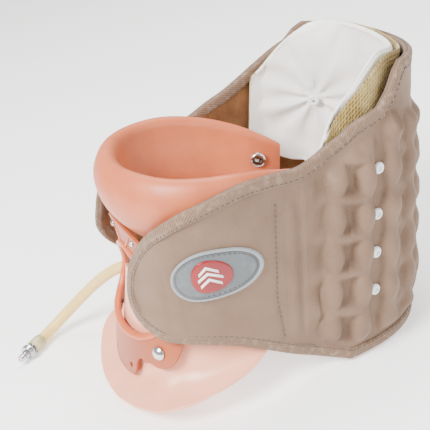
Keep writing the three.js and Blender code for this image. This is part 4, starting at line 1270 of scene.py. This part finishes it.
def make_stage(looks):
    scene = bpy.context.scene
    data = bpy.data.cameras.new("camera")
    data.lens, data.sensor_width, data.clip_start = looks.lens, 36, 0.01
    camera = bpy.data.objects.new("camera", data)
    back = (CAMERA_PLACE - CAMERA_AIM).normalized()
    right = UP.cross(back).normalized()
    up = back.cross(right)
    c, s = math.cos(CAMERA_ROLL), math.sin(CAMERA_ROLL)
    axes = Matrix((right * c + up * s, up * c - right * s, back)).transposed()
    camera.matrix_world = Matrix.Translation(CAMERA_PLACE) @ axes.to_4x4()
    scene.collection.objects.link(camera)
    scene.camera = camera

    world = bpy.data.worlds.new("soft_room")
    world.use_nodes = True
    world.node_tree.nodes["Background"].inputs["Color"].default_value = hex_colour("#ffffff")
    world.node_tree.nodes["Background"].inputs["Strength"].default_value = looks.room_light
    scene.world = world
    area_light("key", (0.35, -0.9, 1.1), (0, 0, 0.1), 0.7, looks.key_light)
    area_light("fill", (1.1, 0.5, 0.7), (0, 0, 0.1), 0.8, looks.key_light * 0.2)
    area_light("top", (-0.5, 0.3, 1.3), (0, 0, 0.1), 0.8, looks.key_light * 0.35)

    floor = mesh_piece("floor", [(-4, -4, 0), (4, -4, 0), (4, 4, 0), (-4, 4, 0)], [(0, 1, 2, 3)])
    f = Finish("pale_floor", 0.85, Emission_Strength=0.75)
    f.shader.inputs["Emission Color"].default_value = hex_colour("#ffffff")
    floor.data.materials.append(f.done(f.colours(f.noise(1.5), "#fbfaf8", "#f7f6f4")))


def finish_hidden_parts():
    """Stays, air duct and hook patch stay as they are and get their plastic."""
    for name, node in frame["nodes"].items():
        if not node.hide_render:
            node.data.materials.clear()
            node.data.materials.append(MATERIALS["stay_plastic"])


# ---- settings, operators and panel -------------------------------------------------------------
def colour_setting(name, text, what):
    return bpy.props.StringProperty(name=name, description=what, default=text)


class CollarSettings(bpy.types.PropertyGroup):
    """Sizes and colours of the collar."""
    hose_diameter: bpy.props.FloatProperty(name="Hose diameter", description="Outside diameter of the air hose",
                                           default=0.01, min=0.004, max=0.02, unit="LENGTH")
    stuffing: bpy.props.FloatProperty(name="Stuffing", description="Pressure that plumps the head cushion", default=4.0,
                                      min=0, max=10)
    lens: bpy.props.FloatProperty(name="Lens", description="Focal length of the camera in millimetres", default=83.0)
    room_light: bpy.props.FloatProperty(name="Room light", description="Strength of the even room light", default=0.75)
    key_light: bpy.props.FloatProperty(name="Key light", description="Power of the main soft light in watts", default=50.0)
    eva: colour_setting("Chin cup", "#c56a41", "Colour of the chin cup's foam")
    frame: colour_setting("Front frame", "#aa5630", "Colour of the front frame")
    plate: colour_setting("Chest plate", "#f3ab8e", "Colour of the chest plate")
    fabric: colour_setting("Cover", "#775e4b", "Colour of the wrap's cover")
    binding: colour_setting("Binding", "#806753", "Colour of the binding tape")
    lining: colour_setting("Lining", "#5f3a1c", "Colour of the wrap's lining")
    leatherette: colour_setting("Cushion", "#f7f6f2", "Colour of the head cushion")
    mesh: colour_setting("Spacer mesh", "#ad9048", "Colour of the spacer mesh")
    hose: colour_setting("Hose", "#eecb78", "Colour of the air hose")


def both(make):
    for name in SIDES:
        make(name)


def make_finishes(looks):
    MATERIALS.update(make_materials(looks))


STEPS = (
    ("finishes", "Materials", "Make the materials of all pieces", make_finishes),
    ("stage", "Stage", "Place the camera, the lights and the floor", make_stage),
    ("hose", "Air hose", "Build the air hose and its coupling", lambda looks: make_hose(looks.hose_diameter)),
    ("inlet", "Hose inlet", "Build the elbow where the hose enters", lambda looks: make_inlet()),
    ("covers", "Covers", "Build the outer cover over stays and air cells", lambda looks: both(make_cover)),
    ("linings", "Linings", "Build the brushed lining", lambda looks: both(make_lining)),
    ("bindings", "Bindings", "Fold and stitch the binding tape", lambda looks: both(make_binding)),
    ("pockets", "Pocket seams", "Stitch the stay pockets", lambda looks: both(make_seam_stitches)),
    ("cup", "Chin cup", "Build the chin cup and its eyelets", lambda looks: make_cup()),
    ("frame", "Front frame", "Build the front frame with its bead", lambda looks: make_frame()),
    ("plate", "Chest plate", "Build the chest plate", lambda looks: make_plate()),
    ("rivets", "Rivets", "Build rivets and pins", lambda looks: make_rivets()),
    ("spacer", "Spacer mesh", "Build the pad's mesh backing", lambda looks: make_spacer()),
    ("pad", "Head cushion", "Stuff and tuft the head cushion", lambda looks: make_pad(looks.stuffing)),
    ("button", "Button", "Set the tufting button", lambda looks: make_button()),
    ("snaps", "Snaps", "Set the ring snaps", lambda looks: make_snaps()),
    ("badge", "Badge", "Sew on the generic badge", lambda looks: make_badge()),
    ("hidden", "Inner parts", "Finish the stays, duct and hook patch", lambda looks: finish_hidden_parts()),
)


def operator_for(key, label, words, make):
    """An operator class that runs one building step."""
    def execute(self, context):
        make(context.scene.collar)
        return {"FINISHED"}
    return type(f"COLLAR_OT_{key}", (bpy.types.Operator,), {
        "bl_idname": f"collar.{key}", "bl_label": label, "__doc__": words, "execute": execute,
    })


OPERATORS = [operator_for(*step) for step in STEPS]


class COLLAR_PT_build(bpy.types.Panel):
    """Sidebar panel with the collar's settings and building steps."""
    bl_idname, bl_label = "COLLAR_PT_build", "Neck traction collar"
    bl_space_type, bl_region_type, bl_category = "VIEW_3D", "UI", "Collar"

    def draw(self, context):
        for name in CollarSettings.__annotations__:
            self.layout.prop(context.scene.collar, name)
        for step in OPERATORS:
            self.layout.operator(step.bl_idname)


CLASSES = [CollarSettings, *OPERATORS, COLLAR_PT_build]


def register():
    for cls in CLASSES:
        bpy.utils.register_class(cls)
    bpy.types.Scene.collar = bpy.props.PointerProperty(type=CollarSettings)


def unregister():
    del bpy.types.Scene.collar
    for cls in reversed(CLASSES):
        bpy.utils.unregister_class(cls)


def main():
    register()
    for step in OPERATORS:
        group, name = step.bl_idname.split(".")
        getattr(getattr(bpy.ops, group), name)()


if __name__ == "__main__":
    main()
